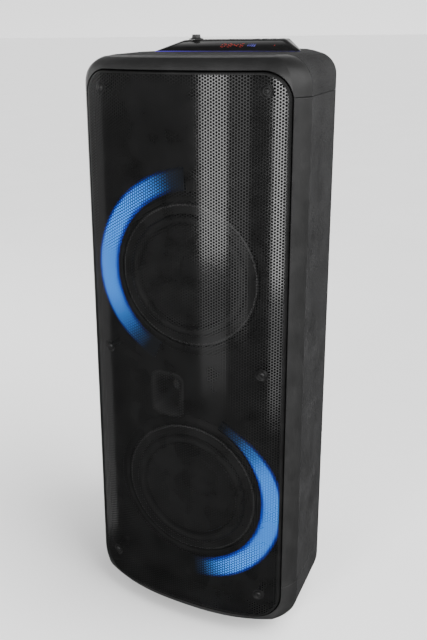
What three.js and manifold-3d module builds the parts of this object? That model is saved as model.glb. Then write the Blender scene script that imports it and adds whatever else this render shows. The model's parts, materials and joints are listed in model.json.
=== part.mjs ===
// A free-standing party speaker: a tapered cabinet between two moulded caps, a bowed steel grille over two
// woofers with crescent light guides and one horn tweeter, a raised control panel on the deck and an
// amplifier plate in the back. Millimetres. X runs to the right of someone facing the grille, the front
// faces -Y, and the feet stand on z = 0.
import * as THREE from "three";
import { mergeVertices } from "three/addons/utils/BufferGeometryUtils.js";
import Module from "manifold-3d";

const wasm = await Module();
wasm.setup();

// ---------------------------------------------------------------- driving dimensions
const GAP = 0.3; // clearance between pieces that touch
const FAR = 500; // reach of a cutting block past the object
const TURN_SEGMENTS = 20; // facets round a turned piece
const SMALL_SEGMENTS = 8; // facets round a screw or a small hole
const CURVE_SEGMENTS = 2; // facets in half a rounded corner

const WIDTH = 355;
const DEPTH = 344;
const FOOT_HEIGHT = 18;
const DECK_Z = 909;
// Corner radii of the outer skin: the sides roll into the deck and the base over one radius and the
// front and rear edges over another. At the deck the side roll tightens from front to rear.
const DECK_ROUND = { sideFront: 42, sideRear: 33, edge: 26 };
const BASE_ROUND = { side: 50, edge: 18, sideBelow: 8 }; // the side roll is cut off this far up its arc
const CREASE_Y = -112.5; // where the bezel meets the side
const TAPER_Y = 8; // where the side starts to run inwards
const REAR_HALF = 108;
const REAR_ROUND = 28;
const SEAM_LOW = 91;
const SEAM_HIGH = 855;
const CABINET_WALL = 8;
const CAP_WALL = 5;
const CAVITY_FRONT_Y = -108; // the bezel is solid in front of this

const GRILLE_WIDTH = 318;
const GRILLE_LOW = 35;
const GRILLE_HIGH = 889;
const GRILLE_CORNER = 38;
const GRILLE_EDGE_Y = -142;
const GRILLE_BOW = 30; // how far the middle stands in front of the edges
const BOW_POWER = 2.5; // flat in the middle, steeper near the edges
const GRILLE_THICK = 1.5;
const GRILLE_REVEAL = 1.4; // dark gap between grille and bezel

const SCREW_X = 128;
const SCREW_HEIGHTS = [864, 457, 78];
const DIMPLE_R = 9;
const SCREW_SEAT_Y = -153.4; // floor of the dimple under a screw head

const BAFFLE_FRONT_Y = -128;
const BAFFLE_BACK_Y = -116;
const WOOFER_HOLE_R = 100;

const BOSS_R = 6;
const BOSS_HOLE_R = 2.4;
const SCREW_TIP_Y = -134;

// Each woofer has an arc of light on one side: side is 1 for the left of the upper one and -1 for the
// right of the lower one, which is turned half round. tip is the share of its width left at its far end.
const WOOFERS = [
  { level: "upper", z: 585, side: 1, tip: 0.9 },
  { level: "lower", z: 221, side: -1, tip: 0.45 },
];
const TWEETER = { x: -40, z: 381, width: 58, height: 78, corner: 16 };

const CRESCENT = {
  innerR: 130.5,
  thick: 36,
  start: 96, // degrees, seen from the front
  sweep: 148,
  offsetX: 9.4, // the arc's centre lies this far from the woofer's
  taperFrom: 0.6, // share of the sweep after which it narrows
};
const GUIDE_THICK = 3;
const LED_POCKET = { inset: 5, depth: 2.6 };
const LED_BOARD = { inset: 6.4, thick: 1.6, endMargin: 3 };

const PANEL = {
  frontY: 5,
  topFrontY: 42,
  topRearY: 108,
  rearY: 122,
  baseHalf: 124,
  topHalf: 87,
  rearBaseHalf: 84,
  rearTopHalf: 71,
  baseZ: DECK_Z + GAP,
  topZ: 926,
  wall: 2.5,
};
const BOARD_Z = 912.5;
const BOARD_THICK = 1.6;
const WINDOW = { low: 0.16, high: 0.9, side: 9, clearance: 0.5 }; // low and high are shares of the slope

const KNOB = { x: -71, y: 55.5, skirtR: 12, capR: 6.6, topZ: 934.5 };
const ENCODER_SHAFT_R = 3;

const BUTTON = { y: 54, width: 11, depth: 9, pitch: 13.4, firstX: 36, proud: 1.3 };
const BUTTON_NAMES = ["light", "previous", "play", "next"];

const AMP_PLATE = { width: 150, low: 126, high: 396, thick: 2.5, frontY: 167.3, corner: 8 };
const AMP_LEDGE = 11; // the cabinet's ledge behind the plate's rim
const INLET = { x: -42, z: 160, width: 27, height: 20, bodyFrontY: 142 };
const ROCKER = { x: 42, z: 160, width: 13, height: 19, tilt: 8 };
const JACK_R = 3.3;
const JACKS = [
  { name: "mic_jack", x: -35, z: 345 },
  { name: "guitar_jack", x: 0, z: 345 },
];
const USB = { x: 36, z: 345, width: 12.4, height: 5.2 };

const PORT = { z: 520, innerR: 30, wall: 2.5, frontY: 62, flangeR: 44 };

const FOOT = { r: 15, frontX: 100, frontY: -95, rearX: 66, rearY: 112 };

// ---------------------------------------------------------------- solids from three.js geometry
function solidOf(geometry) {
  const bare = geometry.index ? geometry.toNonIndexed() : geometry.clone();
  bare.deleteAttribute("normal");
  bare.deleteAttribute("uv");
  const merged = mergeVertices(bare, 1e-4);
  const mesh = new wasm.Mesh({
    numProp: 3,
    vertProperties: merged.attributes.position.array,
    triVerts: new Uint32Array(merged.index.array),
  });
  return new wasm.Manifold(mesh);
}

function geometryOf(solid) {
  const mesh = solid.getMesh();
  const indexed = new THREE.BufferGeometry();
  indexed.setAttribute("position", new THREE.BufferAttribute(mesh.vertProperties, 3));
  indexed.setIndex(new THREE.BufferAttribute(mesh.triVerts, 1));
  const flat = indexed.toNonIndexed();
  flat.computeVertexNormals();
  return flat;
}

const cutAll = (solid, tools) => tools.reduce((left, tool) => left.subtract(tool), solid);
const joinAll = (solids) => solids.reduce((left, next) => left.add(next));

function block(x0, x1, y0, y1, z0, z1) {
  const geometry = new THREE.BoxGeometry(x1 - x0, y1 - y0, z1 - z0);
  return solidOf(geometry.translate((x0 + x1) / 2, (y0 + y1) / 2, (z0 + z1) / 2));
}

// A flat outline in X and Y, raised from z0 to z1.
function prismUp(shape, z0, z1) {
  const options = { depth: z1 - z0, bevelEnabled: false, curveSegments: CURVE_SEGMENTS };
  return solidOf(new THREE.ExtrudeGeometry(shape, options).translate(0, 0, z0));
}

// A flat outline in X and Z, carried from y0 to y1.
function prismBack(shape, y0, y1) {
  const options = { depth: y1 - y0, bevelEnabled: false, curveSegments: CURVE_SEGMENTS };
  return solidOf(new THREE.ExtrudeGeometry(shape, options).rotateX(Math.PI / 2).translate(0, y1, 0));
}

// Profile points are [radius, height]; they run anticlockwise so that the faces point out.
function latheGeometry(profile, segments) {
  const points = profile.map(([r, h]) => new THREE.Vector2(r, h));
  const closed = profile[0][0] !== 0;
  if (THREE.ShapeUtils.area(points) < 0) points.reverse();
  if (closed) points.push(points[0].clone());
  return new THREE.LatheGeometry(points, segments);
}

function turnedY(profile, x, z, segments = TURN_SEGMENTS) {
  return solidOf(latheGeometry(profile, segments).translate(x, 0, z));
}

function turnedZ(profile, x, y, segments = TURN_SEGMENTS) {
  return solidOf(latheGeometry(profile, segments).rotateX(Math.PI / 2).translate(x, y, 0));
}

function rodY(r, y0, y1, x, z, segments = SMALL_SEGMENTS) {
  return turnedY([[0, y0], [r, y0], [r, y1], [0, y1]], x, z, segments);
}

function rodZ(r, z0, z1, x, y) {
  return turnedZ([[0, z0], [r, z0], [r, z1], [0, z1]], x, y);
}

function roundedRect(x, y, width, height, corner) {
  const left = x - width / 2;
  const low = y - height / 2;
  const shape = new THREE.Shape();
  shape.moveTo(left + corner, low);
  shape.lineTo(left + width - corner, low);
  shape.absarc(left + width - corner, low + corner, corner, -Math.PI / 2, 0);
  shape.lineTo(left + width, low + height - corner);
  shape.absarc(left + width - corner, low + height - corner, corner, 0, Math.PI / 2);
  shape.lineTo(left + corner, low + height);
  shape.absarc(left + corner, low + height - corner, corner, Math.PI / 2, Math.PI);
  shape.lineTo(left, low + corner);
  shape.absarc(left + corner, low + corner, corner, Math.PI, Math.PI * 1.5);
  return shape;
}

// Rings of THREE.Vector3 with equal counts, anticlockwise from above, from the lowest to the highest.
function loft(rings) {
  const count = rings[0].length;
  const positions = rings.flat().flatMap((p) => [p.x, p.y, p.z]);
  const faces = [];
  for (let level = 0; level + 1 < rings.length; level += 1) {
    for (let i = 0; i < count; i += 1) {
      const a = level * count + i;
      const b = level * count + ((i + 1) % count);
      faces.push(a, b, b + count, a, b + count, a + count);
    }
  }
  const lastRing = (rings.length - 1) * count;
  for (let i = 1; i + 1 < count; i += 1) {
    faces.push(0, i + 1, i);
    faces.push(lastRing, lastRing + i, lastRing + i + 1);
  }
  const geometry = new THREE.BufferGeometry();
  geometry.setAttribute("position", new THREE.Float32BufferAttribute(positions, 3));
  geometry.setIndex(faces);
  return solidOf(geometry);
}

// ---------------------------------------------------------------- cabinet form
const bowY = (x) => GRILLE_EDGE_Y - GRILLE_BOW * (1 - Math.abs(x / (GRILLE_WIDTH / 2)) ** BOW_POWER);

function bowPoints(steps) {
  const half = GRILLE_WIDTH / 2;
  return Array.from({ length: steps + 1 }, (_, i) => {
    const x = (half * i) / steps;
    return new THREE.Vector2(x, bowY(x));
  });
}

const curvePoints = (from, control, to, steps) =>
  new THREE.QuadraticBezierCurve(from, control, to).getPoints(steps);

// The cabinet's outline in plan, anticlockwise from the middle of the front.
function planOutline() {
  const sideX = WIDTH / 2;
  const rearY = DEPTH / 2;
  const bend = 10;
  const along = new THREE.Vector2(REAR_HALF - sideX, rearY - TAPER_Y).normalize();
  const taperStart = new THREE.Vector2(sideX, TAPER_Y);
  const rearCorner = new THREE.Vector2(REAR_HALF, rearY);
  const right = [
    ...bowPoints(6),
    ...curvePoints(
      new THREE.Vector2(GRILLE_WIDTH / 2, GRILLE_EDGE_Y),
      new THREE.Vector2(172.5, -129.9),
      new THREE.Vector2(sideX, CREASE_Y),
      4,
    ).slice(1),
    ...curvePoints(
      new THREE.Vector2(sideX, TAPER_Y - bend),
      taperStart,
      taperStart.clone().addScaledVector(along, bend),
      2,
    ),
    ...curvePoints(
      rearCorner.clone().addScaledVector(along, -REAR_ROUND * 0.8),
      rearCorner,
      new THREE.Vector2(REAR_HALF - REAR_ROUND * 0.8, rearY),
      5,
    ),
  ];
  const left = right.slice(1).reverse().map((p) => new THREE.Vector2(-p.x, p.y));
  return [...right, ...left];
}

// How far a rounded edge has rolled in at a given distance from the flat that it rolls into.
function rollInset(radius, distance) {
  const rise = Math.min(radius, Math.max(0, radius - distance));
  return radius - Math.sqrt(radius * radius - rise * rise);
}

// Radius of the deck's side roll at a place along the cabinet's depth.
function deckSideRound(y) {
  const part = THREE.MathUtils.smoothstep(y, CREASE_Y, TAPER_Y);
  return THREE.MathUtils.lerp(DECK_ROUND.sideFront, DECK_ROUND.sideRear, part);
}

// The whole cabinet and its caps as one block, shrunk by a wall thickness on every side.
function bodyForm(wall) {
  const outline = planOutline();
  const base = FOOT_HEIGHT + wall;
  const deck = DECK_Z - wall;
  const steps = 5;
  const spacing = (reach) =>
    Array.from({ length: steps + 1 }, (_, k) => reach * (1 - Math.cos((k * Math.PI) / 2 / steps)));
  const lowLevels = spacing(BASE_ROUND.side - BASE_ROUND.sideBelow).map((d) => base + d);
  const highLevels = spacing(DECK_ROUND.sideFront).map((d) => deck - d).reverse();
  const rings = [...lowLevels, ...highLevels].map((z) => {
    const fromBase = z - base;
    const fromDeck = deck - z;
    return outline.map((p) => {
      const deckInset = rollInset(deckSideRound(p.y), fromDeck);
      const baseInset = rollInset(BASE_ROUND.side, fromBase + BASE_ROUND.sideBelow);
      const edgeInset = rollInset(DECK_ROUND.edge, fromDeck) + rollInset(BASE_ROUND.edge, fromBase);
      const sideScale = 1 - (wall + deckInset + baseInset) / (WIDTH / 2);
      const depthScale = 1 - (wall + edgeInset) / (DEPTH / 2);
      return new THREE.Vector3(p.x * sideScale, p.y * depthScale, z);
    });
  });
  return loft(rings);
}

function grilleOutline(margin) {
  const height = GRILLE_HIGH - GRILLE_LOW;
  const middle = (GRILLE_HIGH + GRILLE_LOW) / 2;
  return roundedRect(0, middle, GRILLE_WIDTH + 2 * margin, height + 2 * margin, GRILLE_CORNER + margin);
}

// The hollow body between two heights, open at the front where the grille and the baffle sit.
function bodySection(wall, z0, z1) {
  const slab = block(-FAR, FAR, -FAR, FAR, z0, z1);
  const cavity = bodyForm(wall).intersect(block(-FAR, FAR, CAVITY_FRONT_Y, FAR, -FAR, 2 * FAR));
  const mouth = prismBack(grilleOutline(GRILLE_REVEAL), -FAR, CAVITY_FRONT_Y + 1);
  return bodyForm(0).subtract(cavity).subtract(mouth).intersect(slab);
}

function ampPlateOutline(inset) {
  const height = AMP_PLATE.high - AMP_PLATE.low;
  const middle = (AMP_PLATE.high + AMP_PLATE.low) / 2;
  return roundedRect(0, middle, AMP_PLATE.width - 2 * inset, height - 2 * inset, AMP_PLATE.corner);
}

const ampScrewPlaces = [-1, 1].flatMap((side) =>
  [AMP_PLATE.low + 6, AMP_PLATE.high - 6].map((z) => ({ x: side * (AMP_PLATE.width / 2 - 6), z })),
);

function cabinetShell() {
  const section = bodySection(CABINET_WALL, SEAM_LOW + GAP, SEAM_HIGH - GAP);
  const rebate = prismBack(ampPlateOutline(-GAP), AMP_PLATE.frontY - GAP, FAR);
  const window = prismBack(ampPlateOutline(AMP_LEDGE), FAR / 4, FAR);
  const screwHoles = ampScrewPlaces.map(({ x, z }) => rodY(1.9, 160, 168, x, z));
  const portHole = rodY(PORT.innerR + PORT.wall + GAP, FAR / 4, FAR, 0, PORT.z, TURN_SEGMENTS);
  const portRebate = rodY(PORT.flangeR + GAP, DEPTH / 2 - 3, FAR, 0, PORT.z, TURN_SEGMENTS);
  return cutAll(section, [rebate, window, ...screwHoles, portHole, portRebate]);
}

function topCap() {
  const wiringHole = block(-40, 40, 55, 95, DECK_Z - 20, DECK_Z + 20);
  return bodySection(CAP_WALL, SEAM_HIGH, FAR * 2).subtract(wiringHole);
}

const footPlaces = [
  { name: "foot_front_left", x: -FOOT.frontX, y: FOOT.frontY },
  { name: "foot_front_right", x: FOOT.frontX, y: FOOT.frontY },
  { name: "foot_rear_left", x: -FOOT.rearX, y: FOOT.rearY },
  { name: "foot_rear_right", x: FOOT.rearX, y: FOOT.rearY },
];

const bottomCap = () => bodySection(CAP_WALL, -FAR, SEAM_LOW);

function foot(x, y) {
  const top = FOOT_HEIGHT - GAP;
  return turnedZ([[0, 0], [FOOT.r - 1.5, 0], [FOOT.r, 2], [FOOT.r - 1, top], [0, top]], x, y, 12);
}

// ---------------------------------------------------------------- baffle, grille and screws
const screwPlaces = SCREW_HEIGHTS.flatMap((z) => [-SCREW_X, SCREW_X].map((x) => ({ x, z })));

// An arc of light seen from the front, moved in from its edges and shortened at both ends.
function crescentOutline({ side, z, tip }, inset = 0, endMargin = 0) {
  const steps = 16;
  const innerR = CRESCENT.innerR + inset;
  const centreX = side * CRESCENT.offsetX;
  const inner = [];
  const outer = [];
  for (let i = 0; i <= steps; i += 1) {
    const part = i / steps;
    const degrees = CRESCENT.start + endMargin + (CRESCENT.sweep - 2 * endMargin) * part;
    const angle = THREE.MathUtils.degToRad(degrees);
    const narrowing = (1 - tip) * THREE.MathUtils.smoothstep(part, CRESCENT.taperFrom, 1);
    const outerR = CRESCENT.innerR + CRESCENT.thick * (1 - narrowing) - inset;
    const across = side * Math.cos(angle);
    const up = side * Math.sin(angle);
    inner.push(new THREE.Vector2(centreX + innerR * across, z + innerR * up));
    outer.push(new THREE.Vector2(centreX + outerR * across, z + outerR * up));
  }
  return new THREE.Shape([...inner, ...outer.reverse()]);
}

function frontBaffle() {
  const edge = 1.5;
  const width = GRILLE_WIDTH - 2 * edge;
  const height = GRILLE_HIGH - GRILLE_LOW - 2 * edge;
  const outline = roundedRect(0, (GRILLE_HIGH + GRILLE_LOW) / 2, width, height, GRILLE_CORNER - edge);
  const plate = prismBack(outline, BAFFLE_FRONT_Y, BAFFLE_BACK_Y);
  const bossTop = SCREW_SEAT_Y + GRILLE_THICK + GAP;
  const bosses = screwPlaces.map(({ x, z }) => rodY(BOSS_R, bossTop, BAFFLE_FRONT_Y + 1, x, z));
  const bossHoles = screwPlaces.map(({ x, z }) => rodY(BOSS_HOLE_R, -FAR, SCREW_TIP_Y + 2, x, z));
  const wooferHoles = WOOFERS.map(({ z }) => rodY(WOOFER_HOLE_R, -FAR, 0, 0, z, TURN_SEGMENTS));
  const { x, z, corner } = TWEETER;
  const hornHole = prismBack(roundedRect(x, z, TWEETER.width - 12, TWEETER.height - 12, corner - 4), -FAR, 0);
  const pockets = WOOFERS.map((woofer) =>
    prismBack(crescentOutline(woofer, LED_POCKET.inset), -FAR, BAFFLE_FRONT_Y + LED_POCKET.depth),
  );
  return cutAll(joinAll([plate, ...bosses]), [...bossHoles, ...wooferHoles, hornHole, ...pockets]);
}

function ledBoard(woofer) {
  const outline = crescentOutline(woofer, LED_BOARD.inset, LED_BOARD.endMargin);
  const front = BAFFLE_FRONT_Y + 0.5;
  return prismBack(outline, front, front + LED_BOARD.thick);
}

function lightGuide(woofer) {
  const back = BAFFLE_FRONT_Y - GAP;
  return prismBack(crescentOutline(woofer), back - GUIDE_THICK, back);
}

// The region behind the bowed front surface, moved back by a depth.
function behindBow(depth) {
  const front = bowPoints(8);
  const leftFront = front.slice(1).reverse().map((p) => new THREE.Vector2(-p.x, p.y));
  const line = [...leftFront, ...front].map((p) => new THREE.Vector2(p.x, p.y + depth));
  const back = -100;
  const shape = new THREE.Shape([
    ...line,
    new THREE.Vector2(GRILLE_WIDTH / 2, back),
    new THREE.Vector2(-GRILLE_WIDTH / 2, back),
  ]);
  return prismUp(shape, GRILLE_LOW - 5, GRILLE_HIGH + 5);
}

function grille() {
  const front = behindBow(0);
  const rim = prismBack(grilleOutline(0), -FAR, 0);
  const skin = front.subtract(behindBow(GRILLE_THICK)).intersect(rim);
  const openings = screwPlaces.map(({ x, z }) => rodY(DIMPLE_R - 0.5, -FAR, 0, x, z));
  const holeR = 2.5;
  const pastFront = SCREW_SEAT_Y - 12;
  const cups = screwPlaces.map(({ x, z }) => {
    const floor = SCREW_SEAT_Y + GRILLE_THICK;
    const profile = [
      [holeR, SCREW_SEAT_Y],
      [DIMPLE_R - 2.5, SCREW_SEAT_Y],
      [DIMPLE_R - 1.5, pastFront],
      [DIMPLE_R, pastFront],
      [DIMPLE_R, floor],
      [holeR, floor],
    ];
    return turnedY(profile, x, z, SMALL_SEGMENTS).intersect(front);
  });
  return joinAll([cutAll(skin, openings), ...cups]);
}

function grilleScrew(x, z) {
  const headBack = SCREW_SEAT_Y - GAP;
  const headHeight = 2.2;
  const headR = 4.2;
  const shankR = 2;
  const profile = [
    [0, headBack - headHeight],
    [headR - 1, headBack - headHeight],
    [headR, headBack - 1],
    [headR, headBack],
    [shankR, headBack],
    [shankR, SCREW_TIP_Y],
    [0, SCREW_TIP_Y],
  ];
  return turnedY(profile, x, z, SMALL_SEGMENTS);
}

// ---------------------------------------------------------------- loudspeakers
const FLANGE_BACK_Y = BAFFLE_FRONT_Y - GAP;
const FLANGE_FRONT_Y = FLANGE_BACK_Y - 3;

function basket(z) {
  const profile = [
    [111, FLANGE_FRONT_Y],
    [111, FLANGE_BACK_Y],
    [98.5, FLANGE_BACK_Y],
    [98.5, -118],
    [52, -60],
    [52, -57.7],
    [27.2, -57.7],
    [27.2, -60.2],
    [49.5, -60.2],
    [94.5, -117],
    [94.5, FLANGE_FRONT_Y],
  ];
  const windowCount = 4;
  const windows = Array.from({ length: windowCount }, (_, i) => {
    const bar = new THREE.BoxGeometry(60, 40, 60).translate(80, -88, 0);
    return solidOf(bar.rotateY((i * 2 * Math.PI) / windowCount).translate(0, 0, z));
  });
  return cutAll(turnedY(profile, 0, z), windows);
}

// A half roll between two flat lips.
function surround(z) {
  const lipFront = FLANGE_FRONT_Y - GAP - 1.2;
  const lipBack = FLANGE_FRONT_Y - GAP;
  const rollMiddle = 88;
  const rollR = 7.5;
  const arc = (radius) =>
    Array.from({ length: 5 }, (_, i) => {
      const angle = (i * Math.PI) / 4;
      return [rollMiddle - radius * Math.cos(angle), lipBack - radius * Math.sin(angle)];
    });
  const innerLip = [[78.4, lipBack], [78.4, lipFront]];
  const outerLip = [[108, lipFront], [108, lipBack]];
  return turnedY([...innerLip, ...arc(rollR + 1.2), ...outerLip, ...arc(rollR).reverse()], 0, z);
}

const CONE = { outerR: 78, innerR: 27, frontY: FLANGE_FRONT_Y - GAP - 0.4, depth: 33, thick: 1.6 };
const coneFrontY = (r) => CONE.frontY + ((CONE.outerR - r) / (CONE.outerR - CONE.innerR)) * CONE.depth;

function cone(z) {
  const backY = coneFrontY(CONE.innerR);
  const profile = [
    [CONE.innerR, backY],
    [CONE.outerR, CONE.frontY],
    [CONE.outerR, CONE.frontY + CONE.thick],
    [CONE.innerR, backY + CONE.thick],
  ];
  return turnedY(profile, 0, z);
}

function dustCap(z) {
  const rimR = 30;
  const rise = 12;
  const rimY = coneFrontY(rimR) - GAP;
  const dome = (radius, height) =>
    Array.from({ length: 4 }, (_, i) => {
      const part = i / 3;
      return [radius * part, rimY - height * (1 - part * part)];
    });
  return turnedY([...dome(rimR, rise), ...dome(rimR - 1.4, rise - 1.4).reverse()], 0, z);
}

function voiceCoil(z) {
  return turnedY([[25.6, -97.4], [26.6, -97.4], [26.6, -50], [25.6, -50]], 0, z);
}

function spider(z) {
  const ridges = 2;
  const inner = 27.1;
  const outer = 55;
  const line = Array.from({ length: 2 * ridges + 1 }, (_, i) => {
    const r = inner + ((outer - inner) * i) / (2 * ridges);
    return [r, -71 - (i % 2 ? 2.4 : 0)];
  });
  const back = line.map(([r, y]) => [r, y + 0.9]).reverse();
  return turnedY([...line, ...back], 0, z);
}

function magnet(z) {
  const topPlate = [[27.6, -57.4], [45, -57.4], [45, -51.5]];
  const ring = [[58, -51.5], [58, -33], [30.5, -33], [30.5, -51.5], [27.6, -51.5]];
  return turnedY([...topPlate, ...ring], 0, z);
}

function yoke(z) {
  return turnedY([[0, -57], [24.8, -57], [24.8, -32.7], [52, -32.7], [50, -26], [0, -26]], 0, z);
}

function tweeterHorn() {
  const flangeBack = BAFFLE_FRONT_Y - GAP;
  const { x, z, width, height, corner } = TWEETER;
  const flange = prismBack(roundedRect(x, z, width, height, corner), flangeBack - 2.6, flangeBack);
  const throatWall = prismBack(roundedRect(x, z, width - 14, height - 14, corner - 5), flangeBack - 1, -92);
  const mouth = (scale, y) =>
    Array.from({ length: 12 }, (_, i) => {
      const angle = (i * Math.PI) / 6;
      const halfX = (width / 2 - 10) * scale;
      const halfZ = (height / 2 - 10) * scale;
      return new THREE.Vector3(halfX * Math.cos(angle), halfZ * Math.sin(angle), -y);
    });
  // Lofted upwards, then laid back so that its height runs along Y.
  const flare = loft([mouth(0.32, -90), mouth(0.94, flangeBack + 6), mouth(1, flangeBack - 5)]);
  return joinAll([flange, throatWall]).subtract(flare.rotate([90, 0, 0]).translate([x, 0, z]));
}

function tweeterDriver() {
  const profile = [[0, -91.6], [20, -91.6], [20, -88], [32, -88], [32, -70], [24, -68], [0, -68]];
  return turnedY(profile, TWEETER.x, TWEETER.z);
}

// ---------------------------------------------------------------- control panel
function panelRing(y0, y1, halfFront, halfRear, z, inset) {
  return [
    new THREE.Vector3(-halfFront + inset, y0 + inset, z),
    new THREE.Vector3(halfFront - inset, y0 + inset, z),
    new THREE.Vector3(halfRear - inset, y1 - inset, z),
    new THREE.Vector3(-halfRear + inset, y1 - inset, z),
  ];
}

function panelForm(inset, drop) {
  return loft([
    panelRing(PANEL.frontY, PANEL.rearY, PANEL.baseHalf, PANEL.rearBaseHalf, PANEL.baseZ, inset),
    panelRing(PANEL.topFrontY, PANEL.topRearY, PANEL.topHalf, PANEL.rearTopHalf, PANEL.topZ - drop, inset),
  ]);
}

const buttonPlaces = BUTTON_NAMES.map((name, i) => ({ name, x: BUTTON.firstX + i * BUTTON.pitch }));

// The window lies on the front slope and is sunk into it.
const SLOPE = {
  run: PANEL.topFrontY - PANEL.frontY,
  rise: PANEL.topZ - PANEL.baseZ,
};

// A slab in the front slope between two depths under its surface.
function slopeSlab(top, bottom, margin) {
  const from = WINDOW.low + margin / SLOPE.run;
  const to = WINDOW.high - margin / SLOPE.run;
  const at = (part, depth, side) => {
    const half = THREE.MathUtils.lerp(PANEL.baseHalf, PANEL.topHalf, part) - WINDOW.side - margin;
    const z = PANEL.baseZ + SLOPE.rise * part - depth;
    return new THREE.Vector3(side * half, PANEL.frontY + SLOPE.run * part, z);
  };
  const ring = (depth) => [at(from, depth, -1), at(from, depth, 1), at(to, depth, 1), at(to, depth, -1)];
  return loft([ring(bottom), ring(top)]);
}

function controlPanel() {
  const hollow = panelForm(2 * PANEL.wall, PANEL.wall);
  const buttonHoles = buttonPlaces.map(({ x }) =>
    prismUp(roundedRect(x, BUTTON.y, BUTTON.width, BUTTON.depth, 2.5), PANEL.topZ - 10, PANEL.topZ + 10),
  );
  const shaftHole = rodZ(ENCODER_SHAFT_R + 1.2, PANEL.topZ - 10, PANEL.topZ + 10, KNOB.x, KNOB.y);
  return cutAll(panelForm(0, 0), [hollow, ...buttonHoles, shaftHole, slopeSlab(-5, 1.5, 0)]);
}

const displayWindow = () => slopeSlab(0.1, 1.2, WINDOW.clearance);

function controlBoard() {
  const board = block(-80, 78, 48, 90, BOARD_Z, BOARD_Z + BOARD_THICK);
  const encoder = block(KNOB.x - 6.5, KNOB.x + 6.5, KNOB.y - 6.5, KNOB.y + 6.5, BOARD_Z + 1, BOARD_Z + 8);
  const shaft = rodZ(ENCODER_SHAFT_R, BOARD_Z + 1, KNOB.topZ - 3, KNOB.x, KNOB.y);
  const chip = block(10, 34, 70, 88, BOARD_Z + 1, BOARD_Z + 4.5);
  return joinAll([board, encoder, shaft, chip]);
}

function volumeKnob() {
  const low = PANEL.topZ + 0.5;
  const bore = ENCODER_SHAFT_R + GAP;
  const profile = [
    [bore, low],
    [KNOB.skirtR, low],
    [KNOB.skirtR, low + 1.5],
    [KNOB.capR + 1.6, low + 2.6],
    [KNOB.capR + 0.6, low + 3],
    [KNOB.capR, KNOB.topZ - 0.6],
    [KNOB.capR - 0.6, KNOB.topZ],
    [0, KNOB.topZ],
    [0, KNOB.topZ - 3 + GAP],
    [bore, KNOB.topZ - 3 + GAP],
  ];
  return turnedZ(profile, KNOB.x, KNOB.y);
}

function panelButton(x) {
  const cap = roundedRect(x, BUTTON.y, BUTTON.width - 2 * GAP, BUTTON.depth - 2 * GAP, 2.2);
  return prismUp(cap, BOARD_Z + BOARD_THICK + 1.4, PANEL.topZ + BUTTON.proud);
}

// ---------------------------------------------------------------- amplifier plate and electronics
const PLATE_BACK_Y = AMP_PLATE.frontY + AMP_PLATE.thick;

function amplifierPlate() {
  const plate = prismBack(ampPlateOutline(0), AMP_PLATE.frontY, PLATE_BACK_Y);
  const screwHoles = ampScrewPlaces.map(({ x, z }) => rodY(1.9, 150, FAR, x, z));
  const squareHole = ({ x, z }, halfX, halfZ) => block(x - halfX, x + halfX, 150, FAR, z - halfZ, z + halfZ);
  const inletHole = squareHole(INLET, INLET.width / 2 - 2, INLET.height / 2 - 1.5);
  const rockerHole = squareHole(ROCKER, ROCKER.width / 2 + 1.5, ROCKER.height / 2 + 1.5);
  const usbHole = squareHole(USB, USB.width / 2 + 1.6, USB.height / 2 + 1.6);
  const jackHoles = JACKS.map(({ x, z }) => rodY(6.3, 150, FAR, x, z));
  const finCount = 5;
  const fins = Array.from({ length: finCount }, (_, i) => {
    const x = -36 + (72 * i) / (finCount - 1);
    return block(x - 1.2, x + 1.2, 146, AMP_PLATE.frontY + 1, 215, 305);
  });
  return cutAll(joinAll([plate, ...fins]), [...screwHoles, inletHole, rockerHole, ...jackHoles, usbHole]);
}

function ampScrew(x, z) {
  const seat = PLATE_BACK_Y + GAP;
  const tipY = 161;
  const shank = [[0, tipY], [1.5, tipY], [1.5, seat]];
  const head = [[3.4, seat], [3.4, seat + 0.8], [2.4, seat + 1.6], [0, seat + 1.6]];
  return turnedY([...shank, ...head], x, z, SMALL_SEGMENTS);
}

// A three-pin appliance inlet: a flanged box, open to the back, with three blades.
function mainsInlet() {
  const { x, z, width, height, bodyFrontY } = INLET;
  const seat = PLATE_BACK_Y + GAP;
  const flange = prismBack(roundedRect(x, z, width + 4, height + 4, 3), seat, seat + 1.7);
  const body = block(x - 11.2, x + 11.2, bodyFrontY, seat + 0.5, z - 8.2, z + 8.2);
  const recess = block(x - 9.7, x + 9.7, bodyFrontY + 6, FAR, z - 6.7, z + 6.7);
  const pin = (dx, dz) => block(x + dx - 0.8, x + dx + 0.8, bodyFrontY + 4, seat - 4, z + dz - 2, z + dz + 2);
  return joinAll([joinAll([flange, body]).subtract(recess), pin(-6, -1.5), pin(0, 1.5), pin(6, -1.5)]);
}

function rockerHousing() {
  const { x, z, width, height } = ROCKER;
  const seat = PLATE_BACK_Y + GAP;
  const flange = prismBack(roundedRect(x, z, width + 8, height + 8, 2.5), seat, seat + 1);
  const box = (margin, y0, y1) => {
    const halfX = width / 2 + margin;
    const halfZ = height / 2 + margin;
    return block(x - halfX, x + halfX, y0, y1, z - halfZ, z + halfZ);
  };
  const body = box(1.2, 150, seat + 0.5);
  const well = box(0, 154, FAR);
  return joinAll([flange, body]).subtract(well);
}

const ROCKER_AXIS_Y = 166.5;

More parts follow.
